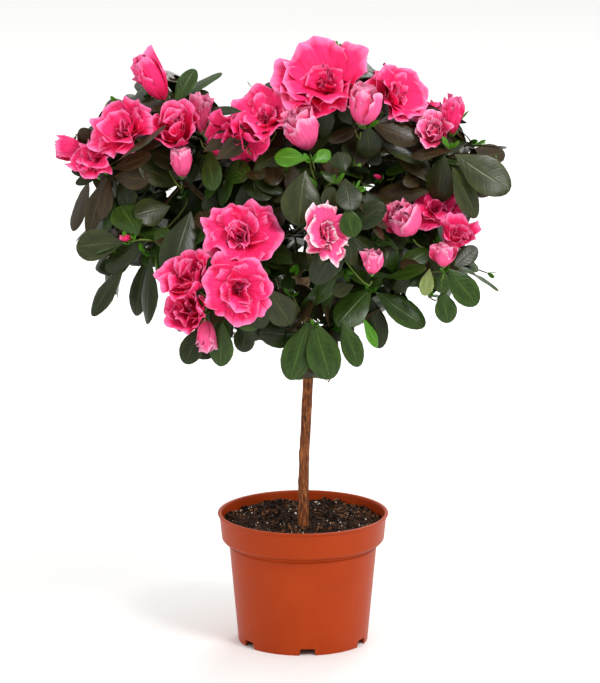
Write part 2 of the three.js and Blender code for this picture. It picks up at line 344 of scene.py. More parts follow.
def gridShape(across, along):
    # a flat sheet: -1 to 1 across, 0 to 1 along
    bm = bmesh.new()
    bmesh.ops.create_grid(bm, x_segments=across, y_segments=along, size=1)
    points, faces = asArrays(bm)
    return points[:, 0], (points[:, 1] + 1) / 2, faces


class Heap:
    # copies of small shapes, gathered as arrays and joined into one piece
    def __init__(self, name, tiles):
        self.name = name
        self.tiles = tiles  # columns and rows of the sheet that every shape is laid out on
        self.points, self.faces, self.spots, self.slots = [], [], [], []
        self.count = 0

    def add(self, points, faces, local, slots):
        # points: copies x corners x 3; local: each corner's place on its tile; slots: the copies' materials
        copies, size = points.shape[:2]
        shift = self.count + np.arange(copies)[:, None, None] * size
        columns, rows = self.tiles
        slots = np.broadcast_to(np.asarray(slots), copies)
        corner = np.stack([slots % columns, slots // columns], 1)[:, None, :]
        inner = tileMargin + (1 - 2 * tileMargin) * np.broadcast_to(local, (copies, size, 2))
        spots = (corner + inner) / (columns, rows)
        self.points.append(points.reshape(-1, 3))
        self.faces.append((faces[None] + shift).reshape(-1, faces.shape[1]))
        self.spots.append(spots.reshape(-1, 2))
        self.slots.append(np.repeat(slots, len(faces)))
        self.count += copies * size

    def join(self, materials, smooth=True):
        corners = np.concatenate([f.ravel() for f in self.faces])
        sizes = np.concatenate([np.full(len(f), f.shape[1]) for f in self.faces])
        mesh = bpy.data.meshes.new(self.name)
        mesh.vertices.add(self.count)
        mesh.vertices.foreach_set("co", np.concatenate(self.points).astype(np.float32).ravel())
        mesh.loops.add(len(corners))
        mesh.loops.foreach_set("vertex_index", corners.astype(np.int32))
        mesh.polygons.add(len(sizes))
        starts = np.concatenate([[0], np.cumsum(sizes)[:-1]])
        mesh.polygons.foreach_set("loop_start", starts.astype(np.int32))
        mesh.polygons.foreach_set("material_index", np.concatenate(self.slots).astype(np.int32))
        mesh.polygons.foreach_set("use_smooth", np.full(len(sizes), smooth))
        layer = mesh.uv_layers.new(name="OFBake")
        layer.data.foreach_set("uv", np.concatenate(self.spots)[corners].astype(np.float32).ravel())
        mesh.update(calc_edges=True)
        for material in materials:
            mesh.materials.append(material)
        piece = bpy.data.objects.new(self.name, mesh)
        bpy.context.scene.collection.objects.link(piece)
        print(self.name, len(corners) - 2 * len(sizes), "triangles")
        return piece


def tileCoords(tree, slot, tiles):
    # across runs from -1 to 1 and along from 0 to 1 on the tile of one slot
    columns, rows = tiles
    sheet = addNode(tree, "ShaderNodeUVMap", uv_map="OFBake").outputs["UV"]
    inner = 1 - 2 * tileMargin
    local = addNode(tree, "ShaderNodeMapping", {
        "Vector": sheet,
        "Scale": (2 * columns / inner, rows / inner, 1),
        "Location": (-2 * (slot % columns + tileMargin) / inner - 1,
                     -(slot // columns + tileMargin) / inner, 0)})
    split = addNode(tree, "ShaderNodeSeparateXYZ", {"Vector": local.outputs["Vector"]})
    return local.outputs["Vector"], split.outputs["X"], split.outputs["Y"]


def unit(vectors):
    return vectors / np.maximum(np.linalg.norm(vectors, axis=-1, keepdims=True), 1e-12)


def arc(length, turn):
    # how far a strip of this length gets forward and aside when it bends evenly through this turn
    return length * np.sinc(turn / math.pi), length * turn / 2 * np.sinc(turn / math.tau) ** 2


def sideOf(axis, angle):
    # the direction square to an axis, this far round it
    side, third, _ = upright(axis)
    return side * math.cos(angle) + third * math.sin(angle)


def upright(axis):
    # a frame whose third side is the axis
    side = axis.orthogonal().normalized()
    return np.array([side, axis.cross(side), axis])


# the peat in the pot

soil = {
    "level": 92.2,  # mm
    "radius": 60.9,
    "bottom": 78,
    "rings": 44,
    "turns": 150,
    "stemPlace": (0, -12),  # from the pot's axis
    "stemClear": 5.5,  # radius round the stem that stays clear of crumbs
    "swell": 1.3,  # height of the long waves
    "lumps": [(5.5, 2.2, 3), (2.1, 1.3, 9)],  # width and height, and where in the noise
    "pressed": (4, 16),  # from here round the stem, and over this far, the lumps come back
    "drop": (52, 8, 1.2),  # where it starts to fall to the wall, over how far, and how deep
    "crumbs": 3600,
    "crumbSize": (0.45, 1.9),
    "perlite": 230,
    "perliteSize": (0.35, 0.95),
    "fibres": 150,
    "fibreLength": (3, 9),
    "fibreThick": (0.16, 0.34),  # radius
    "colours": ["140b07", "27170e", "442a19"],
    "crumbColours": {"blackPeat": "0d0805", "darkPeat": "1f120b", "brownPeat": "332013",
                     "woodyPeat": "4d301c", "barkFines": "744a2b"},
    "perliteColour": "e6e0d2",
    "fibreColour": "6b4a2c",
    "seed": 4,
}


def soilHeight(x, y):
    # banked a little to the back, lumpy, and pressed level round the stem
    footX, footY = soil["stemPlace"]
    fromStem = math.hypot(x - footX, y - footY)
    wave = math.sin(x * 0.16 + 1.3) * math.cos(y * 0.19 - 0.4)
    lumps = sum(noise.noise(Vector((x, y, layer)) / wide) * high for wide, high, layer in soil["lumps"])
    dropStart, dropOver, dropDeep = soil["drop"]
    edge = max(0, math.hypot(x, y) - dropStart) / dropOver
    pressed, over = soil["pressed"]
    calm = min(1, max(0, (fromStem - pressed) / over))
    return (soil["level"] + (soil["swell"] * wave + y / 30) * calm + lumps * (0.35 + 0.65 * calm)
            - dropDeep * edge)


def peat(name, colours):
    # milled peat: no gloss at all, crumbs of about 1.6 mm in several browns
    material, tree, shader = newMaterial(name, colours[1], {"Roughness": 0.96, "Specular IOR Level": 0.2})
    place = addNode(tree, "ShaderNodeTexCoord").outputs["Object"]
    crumb = addNode(tree, "ShaderNodeTexNoise", {"Vector": place, "Scale": 1 / (1.6 * mm), "Detail": 4,
                                                 "Roughness": 0.7})
    addNode(tree, "ShaderNodeValToRGB", {"Fac": crumb}, shader.inputs["Base Color"],
            zip((0.32, 0.5, 0.68), colours))
    addNode(tree, "ShaderNodeBump", {"Height": crumb, "Strength": 0.8, "Distance": 0.9 * mm},
            shader.inputs["Normal"])
    return material


def makeSoil():
    rng = np.random.default_rng(soil["seed"])
    reach = soil["radius"]
    rings = soil["rings"]
    outline = [Vector((0, soil["bottom"])), Vector((reach - 1, soil["bottom"]))]
    outline += [Vector((reach * k / rings, soil["level"])) for k in range(rings, -1, -1)]
    bm = spinOutline(outline, soil["turns"])
    for v in bm.verts:
        if v.co.z > (soil["level"] - 0.1) * mm:
            v.co.z = soilHeight(v.co.x / mm, v.co.y / mm) * mm
    bmesh.ops.recalc_face_normals(bm, faces=bm.faces)
    bmesh.ops.translate(bm, verts=bm.verts, vec=potAxis)
    bed = placed("soilBed", bm, peat("milledPeatBed", soil["colours"]))
    bed.data.shade_smooth()
    settle(bed, "soil", "potting_soil")

    def strewn(count, within):
        # places on the soil, clear of the stem
        spots = []
        while len(spots) < count:
            x, y = rng.uniform(-reach, reach, 2)
            fromStem = math.hypot(x - soil["stemPlace"][0], y - soil["stemPlace"][1])
            if math.hypot(x, y) < within and fromStem > soil["stemClear"]:
                spots.append((x, y, soilHeight(x, y)))
        return np.array(spots)

    bm = bmesh.new()
    bmesh.ops.create_icosphere(bm, subdivisions=1, radius=1)
    ball, faces = asArrays(bm)

    def crumbs(name, count, sizes, materials, sink):
        heap = Heap(name, (3, 2))
        spots = strewn(count, reach - 1.2)  # nearly to the wall
        low, high = sizes
        radius = low + (high - low) * rng.power(0.35, count)
        shape = ball[None] * rng.uniform(0.55, 1.3, (count, len(ball), 1))
        shape = shape * rng.uniform(0.6, 1.15, (count, 1, 3)) * radius[:, None, None]
        spots[:, 2] += radius * sink
        points = (spots[:, None, :] + shape) * mm + np.array(potAxis)
        pick = np.minimum(rng.power(1.4, count) * len(materials), len(materials) - 1).astype(int)
        heap.add(points, faces, np.full((len(ball), 2), 0.5), len(materials) - 1 - pick)
        return heap.join(materials, smooth=False)

    # crumbs of peat and bark fines, dull all over, each of one brown
    browns = [newMaterial(name, colour, {"Roughness": 0.95, "Specular IOR Level": 0.2})[0]
              for name, colour in soil["crumbColours"].items()]
    settle(crumbs("soilCrumbs", soil["crumbs"], soil["crumbSize"], browns, 0.25), "soil")
    # expanded volcanic glass, chalky and porous
    grit = newMaterial("expandedPerlite", soil["perliteColour"], {"Roughness": 0.9})[0]
    settle(crumbs("soilPerlite", soil["perlite"], soil["perliteSize"], [grit], 0.5), "soil")

    bm = bmesh.new()
    bmesh.ops.create_cone(bm, cap_ends=True, segments=5, radius1=1, radius2=0.5, depth=1)
    bmesh.ops.triangulate(bm, faces=bm.faces)
    rod, rodFaces = asArrays(bm)
    count = soil["fibres"]
    spots = strewn(count, reach - 4)  # half a fibre's length from the wall
    way = unit(np.stack([rng.normal(size=count), rng.normal(size=count), rng.normal(size=count) * 0.2], 1))
    side = unit(np.cross(way, [0, 0, 1]))
    third = np.cross(way, side)
    thick = rng.uniform(*soil["fibreThick"], (count, 1, 1))
    length = rng.uniform(*soil["fibreLength"], (count, 1, 1))
    points = (spots[:, None, :] + [0, 0, 0.8] + side[:, None] * rod[:, :1] * thick
              + third[:, None] * rod[:, 1:2] * thick + way[:, None] * rod[:, 2:] * length)
    heap = Heap("soilFibres", (1, 1))
    heap.add(points * mm + np.array(potAxis), rodFaces, np.full((len(rod), 2), 0.5), 0)
    # dried moss stems, matt and straw brown
    straw = newMaterial("driedPeatFibre", soil["fibreColour"], {"Roughness": 0.9})[0]
    settle(heap.join([straw]), "soil")


makeSoil()
print("soil filled")


# stem, graft and boughs

boughNames = sorted(name for name in nodes if name.startswith("bough_"))

bark = {
    "voxel": 0.62,  # mm
    "ridge": 0.34,  # depth of the furrows
    "scale": 3.4,  # mm across a furrow
    "stretch": 5.5,  # how much longer than wide
    "flake": 1.3,  # mm across a flake, and across a blotch of other brown
    "blotch": 9,
    "knots": (11, 1.1),  # mm between the knots, and how far they stand up
    "pieces": {  # solids, finish, its dark, middle and pale colour, roughness, and mm that it grows stouter
        "stemBark": (["stem"], "flakedStemBark", ["3c1c0c", "743c1c", "b06c34"], 0.78, 0.5),
        # the graft collar is dark grey all over
        "graftCollar": (["graft_union"], "darkGreyGraftBark", ["25282c", "3e444b", "5c6166"], 0.7, 0.45),
        "boughBark": (["crotch", *boughNames], "youngBoughBark", ["4d3a26", "6a5234", "85693f"], 0.8, 0.3),
    },
}


def barkMaterial(name, colours, roughness):
    # young azalea bark: thin, matt, in long flakes with paler cracks
    material, tree, shader = newMaterial(name, colours[1], {
        "Roughness": roughness, "Specular IOR Level": 0.3})
    place = addNode(tree, "ShaderNodeTexCoord").outputs["Object"]
    drawn = addNode(tree, "ShaderNodeMapping", {"Vector": place, "Scale": (1, 1, 1 / bark["stretch"])})
    flakes = addNode(tree, "ShaderNodeTexNoise", {
        "Vector": drawn, "Scale": 1 / (bark["flake"] * mm), "Detail": 5, "Roughness": 0.7})
    blotch = addNode(tree, "ShaderNodeTexNoise", {
        "Vector": place, "Scale": 1 / (bark["blotch"] * mm), "Detail": 2})
    mixed = addNode(tree, "ShaderNodeMix", {"Factor": 0.15, "A": flakes.outputs["Fac"],
                                            "B": blotch.outputs["Fac"]})
    addNode(tree, "ShaderNodeValToRGB", {"Fac": mixed}, shader.inputs["Base Color"],
            zip((0.38, 0.5, 0.64), colours))
    addNode(tree, "ShaderNodeBump", {"Height": flakes, "Strength": 0.7, "Distance": 0.5 * mm},
            shader.inputs["Normal"])
    return material


def barked(name, sources, material, grow):
    # the solids joined and made fine, a little stouter, with furrows along them and low knots
    bm = bmesh.new()
    for source in sources:
        bm.from_mesh(nodes[source].data)
    bmesh.ops.remove_doubles(bm, verts=bm.verts, dist=1e-6)
    bmesh.ops.recalc_face_normals(bm, faces=bm.faces)
    for v in bm.verts:
        v.co += v.normal * grow * mm
    piece = placed(name, bm, material)
    fine = piece.modifiers.new("fine", "REMESH")
    fine.mode = "VOXEL"
    fine.voxel_size = bark["voxel"] * mm
    bakeModifiers(piece)
    bm = bmesh.new()
    bm.from_mesh(piece.data)
    bmesh.ops.smooth_vert(bm, verts=bm.verts, factor=0.5, use_axis_x=True, use_axis_y=True, use_axis_z=True)
    bm.normal_update()
    apart, proud = bark["knots"]
    for v in bm.verts:
        spot = v.co / (bark["scale"] * mm)
        furrow = noise.noise(Vector((spot.x, spot.y, spot.z / bark["stretch"])))
        knot = max(0, noise.noise(v.co / (apart * mm)) - 0.25)
        v.co += v.normal * (furrow * bark["ridge"] + knot * proud) * mm
    bm.to_mesh(piece.data)
    bm.free()
    piece.data.materials.clear()
    piece.data.materials.append(material)
    piece.data.shade_smooth()
    settle(piece, "graft_bark" if "graft_union" in sources else "bark", *sources)
    print(name, sum(len(p.vertices) - 2 for p in piece.data.polygons), "triangles")


for name, (sources, finish, colours, roughness, grow) in bark["pieces"].items():
    barked(name, sources, barkMaterial(finish, colours, roughness), grow)
print("bark grown")


# where the head's surface lies, as seen along a line from the camera

massNames = sorted(name for name in nodes if name.startswith("leaves_"))


def massSurface():
    # the corners and triangles of all the masses, and which mass each triangle is part of
    points, faces, owners, count = [], [], [], 0
    for index, name in enumerate(massNames):
        mesh = nodes[name].data
        spots = np.array([v.co for v in mesh.vertices])
        corners = np.array([p.vertices[:] for p in mesh.polygons]) + count
        points.append(spots)
        faces.append(corners)
        owners.append(np.full(len(corners), index))
        count += len(spots)
    return np.concatenate(points), np.concatenate(faces), np.concatenate(owners)


massPoints, massFaces, massOwners = massSurface()
massTree = BVHTree.FromPolygons(massPoints.tolist(), massFaces.tolist())
headMiddle = Vector(massPoints.min(0) + massPoints.max(0)) / 2
toCamera = -sightLine


def sightRay(across, up):
    # from the camera to a place across and up, in mm, on the plane through the pot's foot that faces it
    goal = potAxis + Vector((across * mm, 0, 0)) + sightUp * up * mm
    return (goal - cameraPlace).normalized(), goal


def onHead(across, up):
    # the first leaf surface met at a place seen from the front, or the nearest part of the head beside it
    way, goal = sightRay(across, up)
    hit, normal, _, _ = massTree.ray_cast(cameraPlace, way)
    if hit:
        return hit, True
    best = min((goal + way * step * 4 * mm for step in range(-45, 46)),
               key=lambda spot: massTree.find_nearest(spot)[3])
    return best, False


def facing(turn, rise):
    # turn is from the front towards +X, rise above the horizon, both in degrees
    turn, rise = math.radians(turn), math.radians(rise)
    return Vector((math.sin(turn) * math.cos(rise), -math.cos(turn) * math.cos(rise), math.sin(rise)))


# blossom

petalTiles = (2, 2)
petalTints = {  # foot, throat, blade and rim of each petal; the throat is darker partly as painted shade of the bloom's depth, and the rim is paler partly as a painted highlight on the frills
    "rose": ["e23c6c", "ea1f56", "f92f73", "ff86bc"],
    "soft": ["fbc4c4", "f44a80", "ff5e97", "ffb0d2"],
    "deep": ["d62852", "d6184a", "ea2463", "fa5c9c"],
    "whiteEdged": ["d84a78", "dc3068", "f45490", "ffe6ec"],
}
petalSlots = {name: index for index, name in enumerate(petalTints)}

# Each kind of bloom is a set of rings from the outside in: how many petals, their length and half width as
# a share of the bloom's size, the lean of the petal from the axis at its foot, a third and two thirds of the
# way and its tip, how far it wraps the axis, how much its rim frills, and the radius that it stands on.
bloomKinds = {
    "open": [
        (5, 0.62, 0.32, (38, 58, 68, 92), 0.3, 1.2, 0.03),
        (4, 0.53, 0.26, (28, 44, 54, 80), 0.45, 1.4, 0.026),
        (3, 0.38, 0.17, (18, 26, 42, 76), 0.7, 1.6, 0.02),
        (2, 0.27, 0.11, (8, 12, 30, 70), 0.9, 1.6, 0.01),
        (6, 0.40, 0.012, (10, 18, 22, 30), 0.0, 0.1, 0.006),
    ],
    "rosette": [
        (5, 0.58, 0.30, (32, 66, 86, 110), 0.3, 1.4, 0.03),
        (5, 0.48, 0.26, (24, 46, 64, 94), 0.5, 1.5, 0.028),
        (4, 0.38, 0.20, (14, 26, 40, 72), 0.8, 1.5, 0.022),
        (3, 0.33, 0.15, (8, 14, 20, 46), 1.0, 1.2, 0.016),
        (2, 0.28, 0.11, (4, 6, 6, 26), 1.2, 1.0, 0.008),
    ],
    "loose": [
        (4, 0.62, 0.27, (34, 62, 84, 118), 0.25, 1.5, 0.03),
        (4, 0.50, 0.21, (20, 44, 68, 104), 0.5, 1.7, 0.026),
        (3, 0.38, 0.15, (10, 26, 46, 82), 0.8, 1.7, 0.018),
        (2, 0.28, 0.10, (6, 14, 30, 64), 1.0, 1.5, 0.01),
    ],
    "cup": [
        (5, 0.80, 0.35, (60, 34, 16, 58), 0.8, 1.2, 0.04),
        (4, 0.73, 0.29, (50, 22, 8, 48), 0.9, 1.5, 0.034),
        (3, 0.64, 0.20, (34, 10, 2, 40), 1.05, 1.6, 0.026),
        (2, 0.54, 0.13, (16, 4, 2, 30), 1.15, 1.5, 0.014),
    ],
    "halfOpen": [
        (4, 1.00, 0.35, (50, 20, -6, -16), 1.0, 1.2, 0.036),
        (4, 0.98, 0.30, (42, 16, -6, -8), 1.0, 1.9, 0.034),
        (4, 0.95, 0.22, (30, 12, -4, -2), 1.05, 2.3, 0.026),
        (3, 0.90, 0.14, (16, 6, -2, 6), 1.1, 2.3, 0.014),
    ],
    "bud": [
        (4, 1.00, 0.29, (52, 10, -12, -30), 1.05, 0.3, 0.035),
        (4, 0.99, 0.22, (42, 8, -10, -24), 1.1, 0.4, 0.03),
        (3, 0.96, 0.15, (32, 5, -8, -18), 1.2, 0.4, 0.02),
    ],
}
budKinds = ("halfOpen", "bud")

# How high each kind stands and how far it reaches from its axis, how far its foot lies behind its middle, all
# as shares of its size, and how unruly its petals are.
bloomForms = {
    "open": (0.3, 0.5, 0.24, 1.15),
    "rosette": (0.3, 0.5, 0.24, 1.0),
    "loose": (0.3, 0.5, 0.24, 1.5),
    "cup": (0.66, 0.42, 0.42, 1.0),
    "halfOpen": (0.95, 0.27, 0.5, 0.65),
    "bud": (0.95, 0.27, 0.5, 0.3),
}

# Blooms seen from the front: kind, place across and up from the pot's axis and the ground in mm, size in mm
# (width of an open one, length of a bud), how far it stands out towards the front in mm, turn and rise of its
# axis, girth against the kind's own, tint.
frontBlooms = [
    ("open", (18, 427.5), 64, 0, -8, 52, 1.1, "rose"),
    ("open", (-27, 400), 50, -6, -30, 50, 1.1, "rose"),
    ("loose", (-50, 379), 50, -14, -30, -40, 1.0, "deep"),
    ("halfOpen", (-2, 390), 40, 20, -36, 60, 1.1, "soft"),
    ("halfOpen", (46, 408), 34, 16, 20, 78, 1.1, "soft"),
    ("open", (72, 417), 50, 0, 50, 40, 1.0, "rose"),
    ("bud", (88, 398), 15, 0, -80, 10, 1.0, "soft"),
    ("cup", (101, 389), 29, 6, -12, 40, 1.0, "soft"),
    ("halfOpen", (115.5, 401), 33, 6, 60, 84, 0.68, "rose"),
    ("halfOpen", (-117, 430), 43, 0, -86, 58, 0.86, "rose"),
    ("open", (-137, 390), 52, 0, -42, 36, 1.0, "rose"),
    ("halfOpen", (-179, 375), 25, 0, -100, 2, 1.25, "rose"),
    ("loose", (-159, 371), 38, 4, -40, 40, 1.0, "rose"),
    ("cup", (-98, 392), 40, 4, -10, 52, 1.1, "rose"),
    ("halfOpen", (-78, 402), 33, 16, 10, 84, 0.8, "soft"),
    ("halfOpen", (-92.5, 366), 29, 10, 0, 80, 1.08, "soft"),
    ("rosette", (-47, 309), 58, 0, -5, 34, 1.0, "rose"),
    ("rosette", (-49, 268), 52, 0, 10, 18, 1.0, "rose"),
    ("cup", (-88, 279), 38, -8, -38, 50, 1.05, "rose"),
    ("cup", (-87, 252), 37, 4, -30, 24, 1.05, "rose"),
    ("halfOpen", (-75, 231), 27, 4, -10, -80, 0.85, "soft"),
    ("loose", (19, 308), 46, -6, 30, 16, 1.0, "whiteEdged"),
    ("halfOpen", (53, 288), 22, 4, 0, 76, 1.2, "soft"),
    ("halfOpen", (77, 320), 31, 4, -40, 56, 1.45, "soft"),
    ("open", (102, 331), 38, -4, 4, 44, 1.0, "rose"),
    ("cup", (117, 309), 31, 4, 24, 56, 1.0, "rose"),
    ("halfOpen", (108, 293), 20, 8, 5, 78, 1.6, "soft"),
    ("bud", (-136, 306), 11, 0, -85, 5, 1.1, "rose"),
    ("bud", (57, 353), 9, 0, -60, 20, 1.1, "deep"),
]

petalGrids = {True: gridShape(18, 6), False: gridShape(10, 6)}  # outer petals and the small inner ones

petal = {
    "lobes": [(4.6, 0.04), (9, 0.034)],  # waves that scallop the rim, and their share of the length
    "ruffles": [(5.2, 1), (9.5, 1), (14.5, 0.45)],  # waves of the frill, and their weights
    "ruffleDeep": 0.036,  # share of the bloom's size
    "creaseDeep": 0.05,
    "lengthSpread": (0.13, 0.07),  # shorter and longer than the ring's own
    "widthSpread": 0.14,
    "leanSpread": (0.13, 0.09),  # radians, of the whole petal and of each stretch
    "bendSteps": 32,
}


def bentPetals(s, t, ring, size, girth, wild, rng):
    # one ring of petals about +Z, each bent along its length, wrapped across and frilled at its rim
    count, length, half, leans, wrap, frill, foot = ring
    shorter, longer = petal["lengthSpread"]
    whole, stretch = petal["leanSpread"]
    steps = petal["bendSteps"]
    around = (np.arange(count) + rng.uniform(-0.22, 0.22, count) * wild + rng.random()) / count * math.tau
    length = length * size * rng.uniform(1 - shorter * wild, 1 + longer * wild, (count, 1))
    half = half * size * girth * rng.uniform(1 - petal["widthSpread"], 1 + petal["widthSpread"], (count, 1))
    leans = (np.radians(leans) + rng.normal(0, whole * wild, (count, 1))
             + rng.normal(0, stretch * wild, (count, 4)))
    fine = np.linspace(0, 3, steps + 1)
    lean = leans @ np.maximum(0, 1 - np.abs(fine[None] - np.arange(4)[:, None]))

    phase = rng.uniform(0, math.tau, (8, count, 1))
    lobes = sum(high * np.sin(wave * s + phase[i]) for i, (wave, high) in enumerate(petal["lobes"]))
    reach = t * (0.5 + 0.47 * np.cos(s * math.pi / 2) ** 0.8) * (1 + lobes * frill * t ** 2)
    place = np.clip(reach, 0, 1) * steps
    below = np.minimum(place.astype(int), steps - 1)
    part = place - below

    def read(table):
        rows = np.arange(count)[:, None]
        return table[rows, below] * (1 - part) + table[rows, below + 1] * part

    def run(slopes):
        return np.concatenate([np.zeros((count, 1)), np.cumsum(slopes, 1)], 1) / steps

    radius = foot * size + read(run(np.sin(lean[:, 1:]))) * length * girth
    height = read(run(np.cos(lean[:, 1:]))) * length
    angle = read(lean)
    across = half * np.sin(s * math.pi / 2) * (0.16 + 0.84 * np.sin(t * math.pi / 2) ** 1.25)
    bend = np.clip(across * wrap / np.maximum(radius, 0.05 * size), -2.7, 2.7)
    sideways, inward = arc(across, bend)
    rim = np.maximum(t ** 2.6, t * np.abs(s) ** 3)
    waves = sum(high * np.sin(wave * s + phase[i + 2]) for i, (wave, high) in enumerate(petal["ruffles"]))
    ruffle = waves * rim * petal["ruffleDeep"]
    crease = np.sin(3.4 * s + phase[5]) * np.sin(2.8 * t + phase[6]) * t * petal["creaseDeep"]
    tilt = np.sin(phase[7]) * 0.22 * wild * across * t
    inward = inward + (ruffle * frill + crease) * size + tilt
    radius = radius - np.cos(angle) * inward
    height = height + np.sin(angle) * inward
    turn = around[:, None]
    return np.stack([radius * np.cos(turn) - sideways * np.sin(turn),
                     radius * np.sin(turn) + sideways * np.cos(turn), height], 2)


class Bloom:
    # one flower or bud, with the space that it fills round its axis
    def __init__(self, kind, foot, axis, size, girth, tint, seed):
        self.kind, self.foot, self.axis = kind, foot, axis
        self.size, self.girth, self.tint, self.seed = size, girth, tint, seed
        high, wide, _, self.unruly = bloomForms[kind]
        self.height = size * high
        self.reach = size * wide * girth
        self.middle = foot + axis * self.height * 0.6


def bloomAt(kind, spot, size, forward, turn, rise, girth, tint, seed):
    # a bloom on the head's skin, where it is seen from the front
    axis = facing(turn, rise)
    size = size * mm
    hit, _ = onHead(*spot)
    way, _ = sightRay(*spot)
    middle = hit - way * (size * (0.2 if kind in budKinds else 0.12) + forward * mm)
    return Bloom(kind, middle - axis * size * bloomForms[kind][2], axis, size, girth, tint, seed)


def addBloom(heap, bloom):
    rng = np.random.default_rng(bloom.seed)
    sides = upright(bloom.axis)
    for number, ring in enumerate(bloomKinds[bloom.kind]):
        s, t, faces = petalGrids[number < 2]
        points = bentPetals(s[None], t[None], ring, bloom.size, bloom.girth, bloom.unruly, rng)
        askew = rng.normal(0, 0.09 * bloom.unruly, 3) * [1, 1, 0]
        points = points + askew * points[..., 2:]  # no ring stands quite true
        points = points @ sides + np.array(bloom.foot)
        heap.add(points, faces, np.stack([(s + 1) / 2, t], 1), petalSlots[bloom.tint])


def petalMaterial(tint):
    # living petal: thin and soft, velvety rather than shiny, with veins that fan out to a paler rim; the
    # throat's deeper colour is partly painted shade, the rim's paleness is partly a painted highlight, and
    # the vein streaks are partly painted shade and highlight
    foot, throat, blade, rim = petalTints[tint]
    material, tree, shader = newMaterial("freshPetal" + tint[0].upper() + tint[1:], blade, {
        "Roughness": 0.55, "Specular IOR Level": 0.16})
    place, across, along = tileCoords(tree, petalSlots[tint], petalTiles)
    # from the foot to the tip, a little uneven, and at the sides as at the tip
    wander = addNode(tree, "ShaderNodeTexNoise", {"Vector": place, "Scale": 3.2, "Detail": 3})
    uneven = addNode(tree, "ShaderNodeMath", {0: wander, 1: 0.5}, operation="SUBTRACT")
    shifted = addNode(tree, "ShaderNodeMath", {0: uneven, 1: 0.22, 2: along}, operation="MULTIPLY_ADD")
    side = addNode(tree, "ShaderNodeMath", {0: across}, operation="ABSOLUTE")
    side = addNode(tree, "ShaderNodeMath", {0: side, 1: 9.0}, operation="POWER")
    side = addNode(tree, "ShaderNodeMath", {0: side, 1: 0.97}, operation="MULTIPLY")
    taper = addNode(tree, "ShaderNodeMath", {0: along}, operation="SQRT")
    side = addNode(tree, "ShaderNodeMath", {0: side, 1: taper}, operation="MULTIPLY")
    nearRim = addNode(tree, "ShaderNodeMath", {0: shifted, 1: side}, operation="MAXIMUM")
    # foot to rim: the darker throat is partly the petal's own colour and partly painted shade of the bloom's
    # depth; the paler rim is partly its own colour and partly a painted highlight on the frills
    body = addNode(tree, "ShaderNodeValToRGB", {"Fac": nearRim}, stops=[
        (0.02, foot), (0.18, throat), (0.48, blade), (0.84, blade), (1.0, rim)])
    # the fanned veins brighten and darken the colour: partly the petal's own veins, partly painted shade in
    # the creases between them and painted highlight on their ridges
    fan = addNode(tree, "ShaderNodeMapping", {"Vector": place, "Scale": (11, 1.6, 1)})
    veins = addNode(tree, "ShaderNodeTexNoise", {"Vector": fan, "Scale": 1, "Detail": 2})
    shade = addNode(tree, "ShaderNodeMapRange", {"Value": veins, "From Min": 0.3, "From Max": 0.7,
                                                 "To Min": 0.85, "To Max": 1.18})
    addNode(tree, "ShaderNodeVectorMath", {0: body, 1: shade}, shader.inputs["Base Color"],
            operation="MULTIPLY")
    addNode(tree, "ShaderNodeBump", {"Height": veins, "Strength": 1.0, "Distance": 1.7 * mm},
            shader.inputs["Normal"])
    return material


blooms = [bloomAt(*row, seed=100 + index) for index, row in enumerate(frontBlooms)]


# places on the head's skin

def skinSpots(count, rng):
    # places strewn evenly over the masses, with the way the skin faces there
    a, b, c = massPoints[massFaces].transpose(1, 0, 2)
    cross = np.cross(b - a, c - a)
    areas = np.linalg.norm(cross, axis=1)
    picks = rng.choice(len(areas), count, p=areas / areas.sum())
    u, v = rng.random((2, count, 1))
    u, v = np.where(u + v > 1, 1 - u, u), np.where(u + v > 1, 1 - v, v)
    spots = a[picks] + (b - a)[picks] * u + (c - a)[picks] * v
    return spots, unit(cross)[picks], massOwners[picks]


def isOutside(spot, normal):
    # true on the outer skin, false where two masses meet or on the wall of the hollow heart
    spot, normal = Vector(spot), Vector(normal)
    if massTree.ray_cast(spot + normal * mm, normal, 34 * mm)[0]:
        return False
    return normal.dot((spot - headMiddle).normalized()) > -0.1


def spaced(spots, apart, taken=()):
    # the places kept when each must stand clear of the earlier ones
    kept, chosen = [np.array(spot) for spot in taken], []
    for index, spot in enumerate(spots):
        if not kept or np.min(np.linalg.norm(np.array(kept) - spot, axis=1)) > apart * mm:
            kept.append(spot)
            chosen.append(index)
    return chosen


extraBlooms = {
    "tried": 1500,
    "apart": 47,  # mm between blooms
    "most": 22,
    "hidden": 31,  # mm round each that must not show from the front
    "kinds": ["rosette", "open", "cup", "halfOpen", "rosette", "loose", "bud", "cup", "open", "halfOpen"],
    "sizes": {"rosette": (46, 56), "open": (46, 60), "loose": (40, 48), "cup": (32, 38),
              "halfOpen": (26, 40), "bud": (22, 32)},
    "tints": ["rose", "rose", "soft", "rose", "deep", "soft"],
    "seed": 31,
    "firstSeed": 400,  # of the blooms themselves, above all that are seen from the front
}


def isBehind(spot, radius):
    # true where the masses hide a ball of this radius from the front
    aside = Vector((1, 0, 0))
    return all(massTree.ray_cast(spot + step * radius, toCamera)[0]
               for step in (sightUp, aside, -aside, -sightUp))


